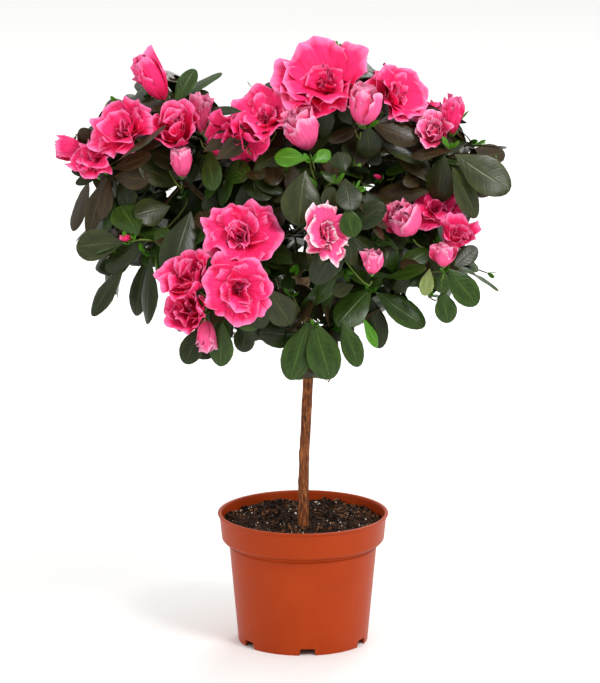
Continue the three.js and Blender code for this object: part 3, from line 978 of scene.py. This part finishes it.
def addExtraBlooms():
    # more of them round the sides and back, mostly high on the head, as the flowering shoots are
    rng = np.random.default_rng(extraBlooms["seed"])
    spots, normals, _ = skinSpots(extraBlooms["tried"], rng)
    fit = [i for i in range(len(spots))
           if normals[i][1] > 0.1 and normals[i][2] > -0.35
           and rng.random() < 0.25 + (spots[i][2] - headMiddle.z) * 7
           and isOutside(spots[i], normals[i])
           and isBehind(Vector(spots[i] + normals[i] * 16 * mm), extraBlooms["hidden"] * mm)]
    spots, normals = spots[fit], normals[fit]
    chosen = spaced(spots, extraBlooms["apart"], [bloom.middle for bloom in blooms])
    for number, index in enumerate(chosen[:extraBlooms["most"]]):
        kind = extraBlooms["kinds"][number % len(extraBlooms["kinds"])]
        size = rng.uniform(*extraBlooms["sizes"][kind]) * mm
        normal = Vector(normals[index])
        lift = 1.4 if kind in ("halfOpen", "bud") else 0.35
        axis = (normal + Vector((0, 0, lift)) + Vector(rng.normal(0, 0.12, 3))).normalized()
        foot = Vector(spots[index]) - normal * 8 * mm - axis * size * 0.12
        tint = extraBlooms["tints"][number % len(extraBlooms["tints"])]
        girth = rng.uniform(0.95, 1.1)
        blooms.append(Bloom(kind, foot, axis, size, girth, tint, extraBlooms["firstSeed"] + number))


def openBlossom():
    # two pieces: the open flowers, and the buds
    petals = [petalMaterial(tint) for tint in petalTints]
    for name, isBud in (("openBlossom", False), ("flowerBuds", True)):
        heap = Heap(name, petalTiles)
        for bloom in blooms:
            if (bloom.kind in budKinds) == isBud:
                addBloom(heap, bloom)
        settle(heap.join(petals), "blossom")


addExtraBlooms()
openBlossom()
print("blossom opened")


# leaves

leafTiles = (3, 2)
leafTints = {  # blade, its paler patches of painted sheen and its veins
    "deep": ["192309", "273110", "404822"],
    "grey": ["252d12", "393f1c", "525a32"],
    "bronze": ["2a2110", "3d311a", "564829"],
    "green": ["23360c", "334d14", "4e692a"],
    "fresh": ["3f7414", "549020", "7ca843"],
    "pale": ["6c7c40", "8a9758", "aab27c"],
}
leafSlots = {name: index for index, name in enumerate(leafTints)}

foliage = {
    "lengths": (28, 45),  # mm, of a shoot's youngest and oldest leaves
    "widthShare": 0.5,
    "outmost": 7,  # mm that a strewn leaf may stand out of the head
    "inmost": 3,  # mm that its tip stays within the outline seen from the front
    "longest": 46,  # mm, of a leaf with its own place
    "tried": 9000,
    "spacing": 27,  # mm between the shoots' tips
    "sunk": (7, 19),  # mm that they stand below the skin of the head
    "innerSpacing": 34,
    "leaves": (6, 9),  # on a shoot
    "goldenTurn": 137.5,  # degrees from one leaf to the next
    "leans": (46, 104),  # degrees from the shoot, the youngest and the oldest
    "droop": 0.16,
    "tuft": (4, 11),  # young leaves round a shoot's tip: how many and how long
    "sepals": 5,
    "seed": 12,
    "shapeSeed": 77,
}

# Shoots seen from the front. Each leaf: tint, where it leaves the shoot and where its tip is, across and up
# from the pot's axis and the ground in mm, how wide it looks, and how far it stands forward if it does.
frontShoots = {
    "leftHigh": [
        ("grey", (-95, 346), (-124, 362), 20), ("deep", (-87, 345), (-80, 372), 12),
        ("green", (-88, 344), (-93, 324), 29), ("deep", (-86, 325), (-101, 276), 29),
        ("grey", (-102, 330), (-128, 324), 23)],
    "leftMiddle": [
        ("green", (-126, 307), (-140, 332), 26), ("grey", (-137, 302), (-174, 300), 26),
        ("green", (-137, 300), (-163, 298), 9)],
    "leftLow": [
        ("deep", (-118, 304), (-152, 282), 17), ("deep", (-136, 284), (-163, 248), 15),
        ("deep", (-118, 291), (-130, 247), 18), ("deep", (-116, 292), (-121, 241), 15),
        ("green", (-112, 298), (-106, 274), 9)],
    "farLeft": [
        ("bronze", (-162, 349), (-178, 314), 12), ("deep", (-155, 355), (-174, 348), 8),
        ("bronze", (-150, 353), (-165, 310), 17), ("bronze", (-148, 352), (-154, 322), 11),
        ("green", (-145, 342), (-152, 311), 11), ("bronze", (-144, 353), (-119, 351), 18),
        ("bronze", (-145, 358), (-118, 370), 14), ("deep", (-142, 364), (-107, 393), 7, 30),
        ("deep", (-158, 355), (-177, 358), 8)],
    "topLeft": [
        ("green", (-98, 408), (-83, 436), 14), ("green", (-95, 410), (-64, 435), 11),
        ("deep", (-95, 407), (-72, 419), 11), ("deep", (-46, 402), (-71, 404), 8)],
    "upperMiddle": [
        ("bronze", (-76, 372), (-47, 391), 15), ("bronze", (-67, 366), (-43, 383), 15),
        ("deep", (15, 380), (19, 407), 14)],
    "topRight": [
        ("deep", (37, 393), (30, 405), 11), ("bronze", (44, 390), (20, 381), 11),
        ("deep", (49, 393), (52, 367), 20), ("bronze", (52, 393), (88, 381), 18),
        ("bronze", (54, 393), (83, 401), 9), ("grey", (58, 380), (92, 366), 14)],
    "underBud": [
        ("fresh", (4, 366), (-22, 369), 15), ("fresh", (8, 364), (21, 373), 11)],
    "middle": [
        ("deep", (32, 357), (27, 372), 17), ("grey", (2, 357), (-4, 317), 30),
        ("deep", (32, 351), (37, 328), 20), ("green", (34, 330), (38, 307), 17)],
    "lowMiddle": [
        ("green", (4, 242), (-10, 198), 24), ("green", (8, 243), (21, 198), 26),
        ("green", (-2, 224), (7, 242), 9), ("green", (30, 243), (43, 208), 17)],
    "lowRight": [
        ("deep", (52, 261), (59, 222), 18), ("fresh", (45, 245), (58, 223), 9),
        ("green", (52, 266), (27, 241), 24), ("grey", (39, 270), (23, 264), 12),
        ("green", (55, 265), (93, 239), 20), ("green", (63, 275), (93, 284), 12)],
    "heart": [
        ("grey", (-27, 268), (-9, 239), 23), ("green", (9, 254), (23, 276), 12)],
    "right": [
        ("green", (108, 281), (105, 264), 15), ("green", (107, 266), (111, 241), 17),
        ("green", (111, 283), (133, 255), 21), ("deep", (115, 283), (133, 299), 14),
        ("green", (127, 278), (151, 268), 5), ("green", (114, 284), (133, 280), 6),
        ("pale", (97, 283), (93, 262), 11), ("deep", (83, 275), (69, 266), 11)],
    "farRight": [
        ("bronze", (118, 375), (155, 377), 9), ("grey", (116, 370), (158, 343), 29),
        ("grey", (113, 361), (134, 322), 17), ("deep", (109, 371), (102, 332), 23),
        ("bronze", (115, 371), (83, 371), 11), ("deep", (108, 401), (94, 405), 6)],
    "lowLeft": [
        ("deep", (-78, 239), (-90, 210), 18), ("green", (-61, 242), (-64, 207), 19),
        ("green", (-60, 245), (-31, 241), 15), ("deep", (-40, 242), (-48, 219), 17),
        ("deep", (-36, 258), (-31, 236), 15)],
}

# Where the sky shows between the leaves: across and up, half as wide and half as high, in mm
skyGaps = [
    (-60, 398, 10, 6), (-11, 316, 6, 7), (-3, 297, 5, 7), (10, 252, 5, 4), (88, 268, 6, 10),
    (116, 258, 5, 9), (-134, 272, 7, 14), (-112, 276, 6, 16), (-104, 262, 10, 12), (-163, 328, 4, 12),
    (-148, 328, 4, 10), (117, 360, 5, 4), (76, 358, 5, 5), (128, 348, 6, 10), (136, 312, 9, 26),
    (126, 272, 9, 10), (76, 246, 10, 9), (-30, 218, 15, 14), (-166, 284, 9, 7), (31, 222, 5, 14),
    (-56, 218, 6, 10), (48, 232, 4, 10), (132, 392, 12, 10), (70, 441, 22, 8), (-32, 432, 12, 8),
    (-139, 424, 14, 9),
    (-88, 420, 6, 4), (-70, 384, 4, 4), (-45, 250, 5, 6), (98, 250, 9, 9), (131, 318, 7, 10),
    (-160, 276, 7, 14), (-58, 415, 17, 7), (-57, 396, 12, 5), (-165, 402, 16, 12), (146, 388, 14, 5),
]

leafAcross, leafAlong, leafFaces = gridShape(4, 8)
leafAlong = np.sin(leafAlong * math.pi / 2) ** 0.93  # rows crowd towards the round tip


class Leaves:
    # one row for each leaf: base, way, face, length, width, bend, twist and slot
    def __init__(self):
        self.rows = []

    def add(self, base, way, face, length, width, bend, tint, twist=0.0):
        way, face = np.array(way), np.array(face)
        face = face - way * (face @ way)
        self.rows.append([*base, *way, *unit(face), length, width, bend, twist, leafSlots[tint]])

    def columns(self):
        table = np.array(self.rows)
        parts = {"base": table[:, 0:3], "way": table[:, 3:6], "face": table[:, 6:9]}
        names = ["length", "width", "bend", "twist"]
        parts.update({name: table[:, 9 + i:10 + i] for i, name in enumerate(names)})
        parts["slot"] = table[:, 13].astype(int)
        return parts

    def along(self, share):
        # where each leaf has got to at a share of its length
        leaf = self.columns()
        forward, down = arc(leaf["length"] * share, leaf["bend"] * share)
        return leaf["base"] + leaf["way"] * forward - leaf["face"] * down

    def keep(self, mask):
        self.rows = [row for row, kept in zip(self.rows, mask) if kept]


def leafShapes(leaf, rng):
    # obovate blades: a narrow foot, widest past the middle, a round tip, a groove down the midrib
    s, t = leafAcross[None], leafAlong[None]
    outline = np.maximum(np.sin(math.pi * np.clip(t, 0, 1) ** 1.36), 0) ** (0.8 - 0.3 * t)
    side = np.cross(leaf["way"], leaf["face"])
    turn = leaf["bend"] * t
    forward, down = arc(leaf["length"] * t, turn)
    half = leaf["width"] / 2
    count = len(half)
    wave = rng.uniform(0, math.tau, (count, 1))
    across = s * outline * half
    arch = rng.uniform(0.5, 1.5, (count, 1))
    rise = half * outline * (0.2 * np.abs(s) - 0.27 * arch * s ** 2)
    rise = rise + half * 0.07 * np.sin(9 * t + wave + 1.6 * s) * np.abs(s) * outline
    roll = leaf["twist"] * t
    sideways = across * np.cos(roll) - rise * np.sin(roll)
    lift = rise * np.cos(roll) + across * np.sin(roll)
    up = leaf["face"][:, None] * np.cos(turn)[..., None] + leaf["way"][:, None] * np.sin(turn)[..., None]
    return (leaf["base"][:, None] + leaf["way"][:, None] * forward[..., None]
            - leaf["face"][:, None] * down[..., None] + side[:, None] * sideways[..., None]
            + up * lift[..., None])


def depthOf(spot):
    # how far from the camera, straight ahead
    return (spot - cameraPlace).dot(sightLine)


def atDepth(across, up, depth):
    # the place at that depth that is seen across and up
    way, _ = sightRay(across, up)
    return cameraPlace + way * (depth / way.dot(sightLine))


def addSeenLeaf(leaves, rng, tint, base, tip, width, forward=0):
    # a leaf from base to tip as seen from the front, near the head's skin; one that looks narrow is rolled
    baseDepth = depthOf(onHead(*base)[0]) + (3 - forward) * mm
    tipHit, met = onHead(*tip)
    seen = math.hypot(tip[0] - base[0], tip[1] - base[1]) * mm
    lean = min(max(depthOf(tipHit) - baseDepth, -0.55 * seen), 0.45 * seen) if met else 0.1 * seen
    lean = min(lean, math.sqrt(max(0, (foliage["longest"] * mm) ** 2 - seen ** 2)))
    start = atDepth(*base, baseDepth)
    end = atDepth(*tip, baseDepth + lean - rng.uniform(0, 4) * mm)
    way = end - start
    length = way.length
    way.normalize()
    real = max(width * mm, 0.42 * length)
    roll = math.acos(min(1, width * mm / real))
    face = toCamera + Vector((0, 0, 0.25)) + Vector(rng.normal(0, 0.1, 3))
    face = (face - way * face.dot(way)).normalized()
    edge = way.cross(face)
    if edge.z < 0:
        edge = -edge
    face = face * math.cos(roll) + edge * math.sin(roll)
    bend = rng.uniform(0.1, 0.4)
    leaves.add(start + face * length * bend / 2 * 0.4, way, face, length * 1.02, real, bend, tint,
               rng.normal(0, 0.12))


def addWhorl(leaves, tip, axis, tint, scale, rng, count=None, tuft=True):
    # the leaves of one shoot, each a golden turn on from the last, oldest lowest and widest spread
    low, high = foliage["lengths"]
    first, last = foliage["leans"]
    count = count or int(rng.integers(*foliage["leaves"]))
    start = rng.uniform(0, 360)
    outward = np.array(axis)
    for i in range(count):
        age = (i + 0.5) / count
        around = math.radians(start + i * foliage["goldenTurn"] + rng.normal(0, 9))
        lean = math.radians(first + (last - first) * age ** 0.85 + rng.normal(0, 7))
        way = outward * math.cos(lean) + sideOf(axis, around) * math.sin(lean)
        way = unit(way - np.array([0, 0, foliage["droop"] * age]))
        face = outward * 0.8 + np.array([0, 0, 0.45]) + rng.normal(0, 0.12, 3)
        length = (low + (high - low) * age ** 0.6) * scale * rng.uniform(0.86, 1.1) * mm
        base = np.array(tip) - outward * age * 8 * scale * mm
        leaves.add(base, way, face, length, length * foliage["widthShare"] * rng.uniform(0.85, 1.12),
                   rng.uniform(0.1, 0.85), tint, rng.normal(0, 0.25))
    if tuft:
        addTuft(leaves, tip, axis, rng)


def addTuft(leaves, tip, axis, rng):
    # the pointed young leaves that stand round a shoot's tip
    count, size = foliage["tuft"]
    for i in range(count):
        around = i * math.radians(foliage["goldenTurn"])
        lean = math.radians(rng.uniform(12, 45))
        way = np.array(axis) * math.cos(lean) + sideOf(axis, around) * math.sin(lean)
        length = size * rng.uniform(0.6, 1.2) * mm
        leaves.add(tip, way, np.array(axis), length, length * 0.34, rng.uniform(-0.3, 0.2), "fresh")


def shootAxis(normal, spot, rng):
    # shoots point out of the head and turn up to the light
    out = unit(np.array(spot) - np.array(headMiddle))
    return Vector(unit(normal * 0.6 + out * 0.3 + np.array([0, 0, 0.42]) + rng.normal(0, 0.16, 3)))


def tintFor(spot, rng):
    # bronzed by the sun high up, greener low down and inside
    height = (spot[2] - massPoints[:, 2].min()) / (massPoints[:, 2].max() - massPoints[:, 2].min())
    weights = np.array([0.34, 0.22, 0.08 + 0.34 * height, 0.42 - 0.3 * height, 0.0])
    return list(leafTints)[rng.choice(len(weights), p=weights / weights.sum())]


def clearOfBlooms(leaves):
    # which leaves neither grow through a bloom nor hide one from the front
    mask = np.ones(len(leaves.rows), bool)
    for share in (0.35, 0.7, 1.0):
        spots = leaves.along(share)
        for bloom in blooms:
            away = spots - np.array(bloom.foot)
            height = away @ np.array(bloom.axis)
            aside = np.linalg.norm(away - height[:, None] * np.array(bloom.axis), axis=1)
            inside = (aside < bloom.reach * 0.85) & (height > bloom.height * 0.25)
            mask &= ~(inside & (height < bloom.height + 45 * mm))
            if bloom.seed < extraBlooms["firstSeed"]:
                away = spots - np.array(bloom.middle)
                nearer = away @ np.array(toCamera)
                aside = np.linalg.norm(away - nearer[:, None] * np.array(toCamera), axis=1)
                mask &= ~((aside < bloom.reach * 0.85) & (nearer > -0.25 * bloom.reach))
    return mask


def seenAt(spot):
    # where a place lies across and up, as seen from the front
    away = spot - cameraPlace
    away = away * ((potAxis - cameraPlace).dot(sightLine) / away.dot(sightLine)) + cameraPlace - potAxis
    return away.x / mm, away.dot(sightUp) / mm


def inGap(spot):
    # whether it would close one of the gaps where the sky shows
    across, up = seenAt(Vector(spot))
    return any(((across - x) / wide) ** 2 + ((up - y) / high) ** 2 < 1 for x, y, wide, high in skyGaps)


def drawnIn(tip):
    # a shoot's tip, brought towards the head's middle until it stands clear of the gaps
    for _ in range(5):
        if inGap(tip):
            tip = tip + (headMiddle - tip).normalized() * 8 * mm
    return tip


def withinHead(leaves):
    # which leaves keep to the head, its outline and its gaps
    middle = Vector(seenAt(headMiddle))
    mask = np.ones(len(leaves.rows), bool)
    for index, spot in enumerate(leaves.along(1.0)):
        nearest, normal, _, away = massTree.find_nearest(Vector(spot))
        outside = (Vector(spot) - nearest).dot(normal) > 0
        seen = Vector(seenAt(Vector(spot)))
        outer = seen + (seen - middle).normalized() * foliage["inmost"]
        mask[index] = not (outside and away > foliage["outmost"] * mm) and onHead(*outer)[1]
    for share in (0.25, 0.5, 0.75, 1.0):
        mask &= ~np.array([inGap(spot) for spot in leaves.along(share)])
    return mask


def clearOfLeaves(leaves, shown):
    # no strewn leaf lies in front of a leaf that has its own place
    mask = np.ones(len(leaves.rows), bool)
    sight = np.array(toCamera)
    targets = [(shown.along(share), shown.columns()["width"][:, 0] * wide)
               for share, wide in ((0.35, 0.32), (0.6, 0.44), (0.85, 0.4))]
    for share in (0.3, 0.65, 1.0):
        spots = leaves.along(share)
        for places, radii in targets:
            away = spots[:, None] - places[None]
            nearer = away @ sight
            aside = np.linalg.norm(away - nearer[..., None] * sight, axis=2)
            mask &= ~np.any((aside < radii[None] + 2 * mm) & (nearer > -1 * mm), axis=1)
    return mask


shownLeaves, strewnLeaves = Leaves(), Leaves()
shoots = []  # where a twig has to reach: tip, axis, mass, whether it is green


def growLeaves():
    # the shoots with their own place, then the strewn ones outside and inside, then those under blooms
    rng = np.random.default_rng(foliage["seed"])
    for rows in frontShoots.values():
        for row in rows:
            addSeenLeaf(shownLeaves, rng, *row)
        bases = np.array([row[1] for row in rows]).mean(0)
        hit, _ = onHead(*bases)
        tip = hit - toCamera * 2 * mm
        shoots.append((tip, (hit - headMiddle).normalized(), massOwners[massTree.find_nearest(hit)[2]], True))
        addTuft(shownLeaves, tip, (toCamera + Vector((0, 0, 0.6))).normalized(), rng)

    spots, normals, owners = skinSpots(foliage["tried"], rng)
    outside = np.array([isOutside(*pair) for pair in zip(spots, normals)])
    outer = np.flatnonzero(outside)
    inner = np.flatnonzero(~outside)
    for index in outer[spaced(spots[outer], foliage["spacing"])]:
        axis = shootAxis(normals[index], spots[index], rng)
        front = max(0.0, float(normals[index] @ np.array(toCamera)))
        sunk = rng.uniform(*foliage["sunk"]) + 9 * front
        tip = drawnIn(Vector(spots[index] - normals[index] * sunk * mm))
        tint = tintFor(spots[index], rng)
        addWhorl(strewnLeaves, tip, axis, tint, rng.uniform(0.86, 1.06), rng, tuft=rng.random() < 0.6)
        shoots.append((tip, axis, owners[index], False))
    for index in inner[spaced(spots[inner], foliage["innerSpacing"])]:
        axis = shootAxis(normals[index], spots[index], rng)
        tip = Vector(spots[index] - normals[index] * 14 * mm)
        addWhorl(strewnLeaves, tip, axis, tintFor(spots[index], rng), rng.uniform(0.75, 0.95), rng,
                 count=5, tuft=False)
        shoots.append((tip, axis, owners[index], False))
    for bloom in blooms:
        owner = massOwners[massTree.find_nearest(bloom.foot)[2]]
        shoots.append((bloom.foot - bloom.axis * 5 * mm, bloom.axis, owner, True))
        if bloom.seed >= extraBlooms["firstSeed"]:
            addWhorl(strewnLeaves, bloom.foot - bloom.axis * 6 * mm, bloom.axis, "deep", 0.95, rng, count=7,
                     tuft=False)
    strewnLeaves.keep(clearOfBlooms(strewnLeaves) & clearOfLeaves(strewnLeaves, shownLeaves)
                      & withinHead(strewnLeaves))
    for bloom in blooms:
        addSepals(shownLeaves, bloom, rng)


def addSepals(leaves, bloom, rng):
    # the small green leaves that hold a bloom's foot
    axis = np.array(bloom.axis)
    for i in range(foliage["sepals"]):
        around = (i + rng.uniform(-0.2, 0.2)) / foliage["sepals"] * math.tau
        outward = sideOf(bloom.axis, around)
        length = rng.uniform(5, 8) * mm
        base = np.array(bloom.foot) - axis * 1.5 * mm + outward * bloom.size * 0.02
        leaves.add(base, unit(axis * 0.75 + outward * 0.65), outward, length, length * 0.4, -0.3, "fresh")


def leafMaterial(tint):
    # a leathery evergreen leaf: satin cuticle over a dark blade, pale midrib and faint side veins
    blade, paintedSheen, vein = leafTints[tint]
    material, tree, shader = newMaterial("evergreenLeaf" + tint[0].upper() + tint[1:], blade, {
        "Roughness": 0.31, "Specular IOR Level": 0.26})
    place, across, along = tileCoords(tree, leafSlots[tint], leafTiles)
    cloud = addNode(tree, "ShaderNodeTexNoise", {"Vector": place, "Scale": 2.6, "Detail": 4})
    # the blade is paler in patches where the puckered surface stands up: painted sheen on the raised pillows
    body = addNode(tree, "ShaderNodeValToRGB", {"Fac": cloud}, stops=[(0.35, blade), (0.68, paintedSheen)])
    out = addNode(tree, "ShaderNodeMath", {0: across}, operation="ABSOLUTE")
    slanted = addNode(tree, "ShaderNodeMath", {0: out, 1: -0.2, 2: along}, operation="MULTIPLY_ADD")
    ribs = addNode(tree, "ShaderNodeMath", {0: slanted, 1: 7.5}, operation="MULTIPLY")
    ribs = addNode(tree, "ShaderNodeMath", {0: ribs, 1: 0.5}, operation="PINGPONG")
    # midrib, side veins and rim: what each goes by, from where to where, and how pale it is at both
    lines = 0.0
    for guide, start, end, first, last in ((out, 0.02, 0.08, 0.42, 0.0), (ribs, 0.02, 0.1, 0.14, 0.0),
                                           (out, 0.9, 1.0, 0.0, 0.28)):
        line = addNode(tree, "ShaderNodeMapRange", {"Value": guide, "From Min": start, "From Max": end,
                                                    "To Min": first, "To Max": last})
        lines = addNode(tree, "ShaderNodeMath", {0: line, 1: lines}, operation="MAXIMUM")
    veined = addNode(tree, "ShaderNodeMix", {"Factor": lines, 6: body, 7: linear(vein)}, data_type="RGBA")
    tree.links.new(veined.outputs[2], shader.inputs["Base Color"])
    pillow = addNode(tree, "ShaderNodeMath", {0: cloud, 1: 0.5}, operation="MULTIPLY")
    pillow = addNode(tree, "ShaderNodeMath", {0: pillow, 1: lines}, operation="SUBTRACT")
    addNode(tree, "ShaderNodeBump", {"Height": pillow, "Strength": 0.6, "Distance": 0.5 * mm},
            shader.inputs["Normal"])
    return material


def makeLeaves():
    heap = Heap("leaves", leafTiles)
    rng = np.random.default_rng(foliage["shapeSeed"])
    local = np.stack([(leafAcross + 1) / 2, leafAlong], 1)
    for group in (shownLeaves, strewnLeaves):
        leaf = group.columns()
        heap.add(leafShapes(leaf, rng), leafFaces, local, leaf["slot"])
    settle(heap.join([leafMaterial(tint) for tint in leafTints]), "leaves", *massNames)


growLeaves()
makeLeaves()
print(len(shownLeaves.rows), "placed and", len(strewnLeaves.rows), "strewn leaves,", len(shoots), "shoots")


# twigs, from the boughs to every shoot

twigs = {
    "sides": 5,
    "steps": 6,
    "limb": (1.6, 1.2),  # radius in mm at its start and end
    "branch": (1.2, 0.85),
    "twig": (0.85, 0.5),
    "shootsPerBranch": 6,
    "hub": 0.75,  # how far from the bough's end to the mass's middle the branches part
    "fork": 0.62,  # how far from there to a cluster's middle the twigs part
    "rounds": 6,  # of sorting the shoots into clusters
    "sweep": 0.36,  # how far each end holds its direction, as a share of the length
    "brown": "58412a",
    "green": "6d7f36",
    "seed": 5,
}


def tubeShape(sides, steps):
    # an open tube of radius 1 from 0 to 1 up
    bm = bmesh.new()
    bmesh.ops.create_circle(bm, segments=sides, radius=1)
    edges = list(bm.edges)
    for _ in range(steps):
        grown = bmesh.ops.extrude_edge_only(bm, edges=edges)["geom"]
        bmesh.ops.translate(bm, verts=[g for g in grown if isinstance(g, bmesh.types.BMVert)], vec=(0, 0, 1))
        edges = [g for g in grown if isinstance(g, bmesh.types.BMEdge)]
        edges = [e for e in edges if abs(e.verts[0].co.z - e.verts[1].co.z) < 0.5]
    bmesh.ops.recalc_face_normals(bm, faces=bm.faces)
    points, faces = asArrays(bm)
    points[:, 2] /= steps
    return points, faces


def boughTip(middle):
    # where the nearest bough ends, and which way it was going
    best = None
    for name in boughNames:
        spots = np.array([v.co for v in nodes[name].data.vertices])
        away = np.linalg.norm(spots - middle, axis=1)
        near = spots[away < away.min() + 5 * mm].mean(0)
        if best is None or away.min() < best[0]:
            best = (away.min(), near, unit(near - spots.mean(0)))
    return best[1], best[2]


def grownTwigs():
    # limb from bough to mass, branches to clusters of shoots, a twig to each shoot: start, end, both
    # directions and both radii
    rng = np.random.default_rng(twigs["seed"])
    rows = []

    def grow(start, startWay, end, endWay, radii, green=False):
        rows.append([*start, *startWay, *end, *endWay, radii[0] * mm, radii[1] * mm, float(green)])

    for index, name in enumerate(massNames):
        own = [shoot for shoot in shoots if shoot[2] == index]
        if not own:
            continue
        tips = np.array([shoot[0] for shoot in own])
        spots = massPoints[np.unique(massFaces[massOwners == index])]
        start, way = boughTip(spots.mean(0))
        hub = spots.mean(0) * twigs["hub"] + start * (1 - twigs["hub"])
        hubWay = unit(hub - start)
        grow(start - way * 3 * mm, way, hub, hubWay, twigs["limb"])
        count = max(2, round(len(own) / twigs["shootsPerBranch"]))
        centres = tips[rng.choice(len(tips), count, replace=False)]
        for _ in range(twigs["rounds"]):
            nearest = np.argmin(np.linalg.norm(tips[:, None] - centres[None], axis=2), axis=1)
            centres = np.array([tips[nearest == k].mean(0) if np.any(nearest == k) else centres[k]
                                for k in range(count)])
        forks = centres * twigs["fork"] + hub * (1 - twigs["fork"])
        for k, fork in enumerate(forks):
            forkWay = unit(fork - hub + rng.normal(0, 0.006, 3))
            grow(hub, unit(hubWay + forkWay), fork, forkWay, twigs["branch"])
            for j in np.flatnonzero(nearest == k):
                tip, axis, _, green = own[j]
                grow(fork, unit(forkWay + unit(tips[j] - fork)), tip, np.array(axis), twigs["twig"], green)
    return np.array(rows)


def twigMaterials():
    # this year's wood: brown and slightly furred below, green where it carries bloom or new leaf
    brown = newMaterial("twigBarkBrown", twigs["brown"], {"Roughness": 0.8, "Specular IOR Level": 0.25})[0]
    green = newMaterial("twigBarkGreen", twigs["green"], {"Roughness": 0.65, "Specular IOR Level": 0.3})[0]
    return [brown, green]


def makeTwigs():
    # every row becomes a tapering tube along a smooth curve
    shape, faces = tubeShape(twigs["sides"], twigs["steps"])
    rows = grownTwigs()
    start, startWay, end, endWay = (rows[:, 3 * i:3 * i + 3][:, None] for i in range(4))
    thick, thin, green = (rows[:, 12 + i][:, None, None] for i in range(3))
    t = shape[None, :, 2:]
    pull = np.linalg.norm(end - start, axis=2, keepdims=True) * twigs["sweep"]
    second, third = start + startWay * pull, end - endWay * pull
    centre = (start * (1 - t) ** 3 + second * 3 * t * (1 - t) ** 2 + third * 3 * t ** 2 * (1 - t)
              + end * t ** 3)
    tangent = unit((second - start) * (1 - t) ** 2 + (third - second) * 2 * t * (1 - t)
                   + (end - third) * t ** 2)
    guide = unit(np.cross(end - start, np.array([0.31, 0.17, 0.93])))
    side = unit(np.cross(tangent, np.broadcast_to(guide, tangent.shape)))
    other = np.cross(tangent, side)
    radius = thick + (thin - thick) * t
    points = centre + (side * shape[None, :, :1] + other * shape[None, :, 1:2]) * radius
    heap = Heap("twigs", (2, 1))
    local = np.stack([(shape[:, 0] + 1) / 2, shape[:, 2]], 1)
    heap.add(points, faces, local, rows[:, 14].astype(int))
    settle(heap.join(twigMaterials()), "bark")


makeTwigs()
print("twigs grown")
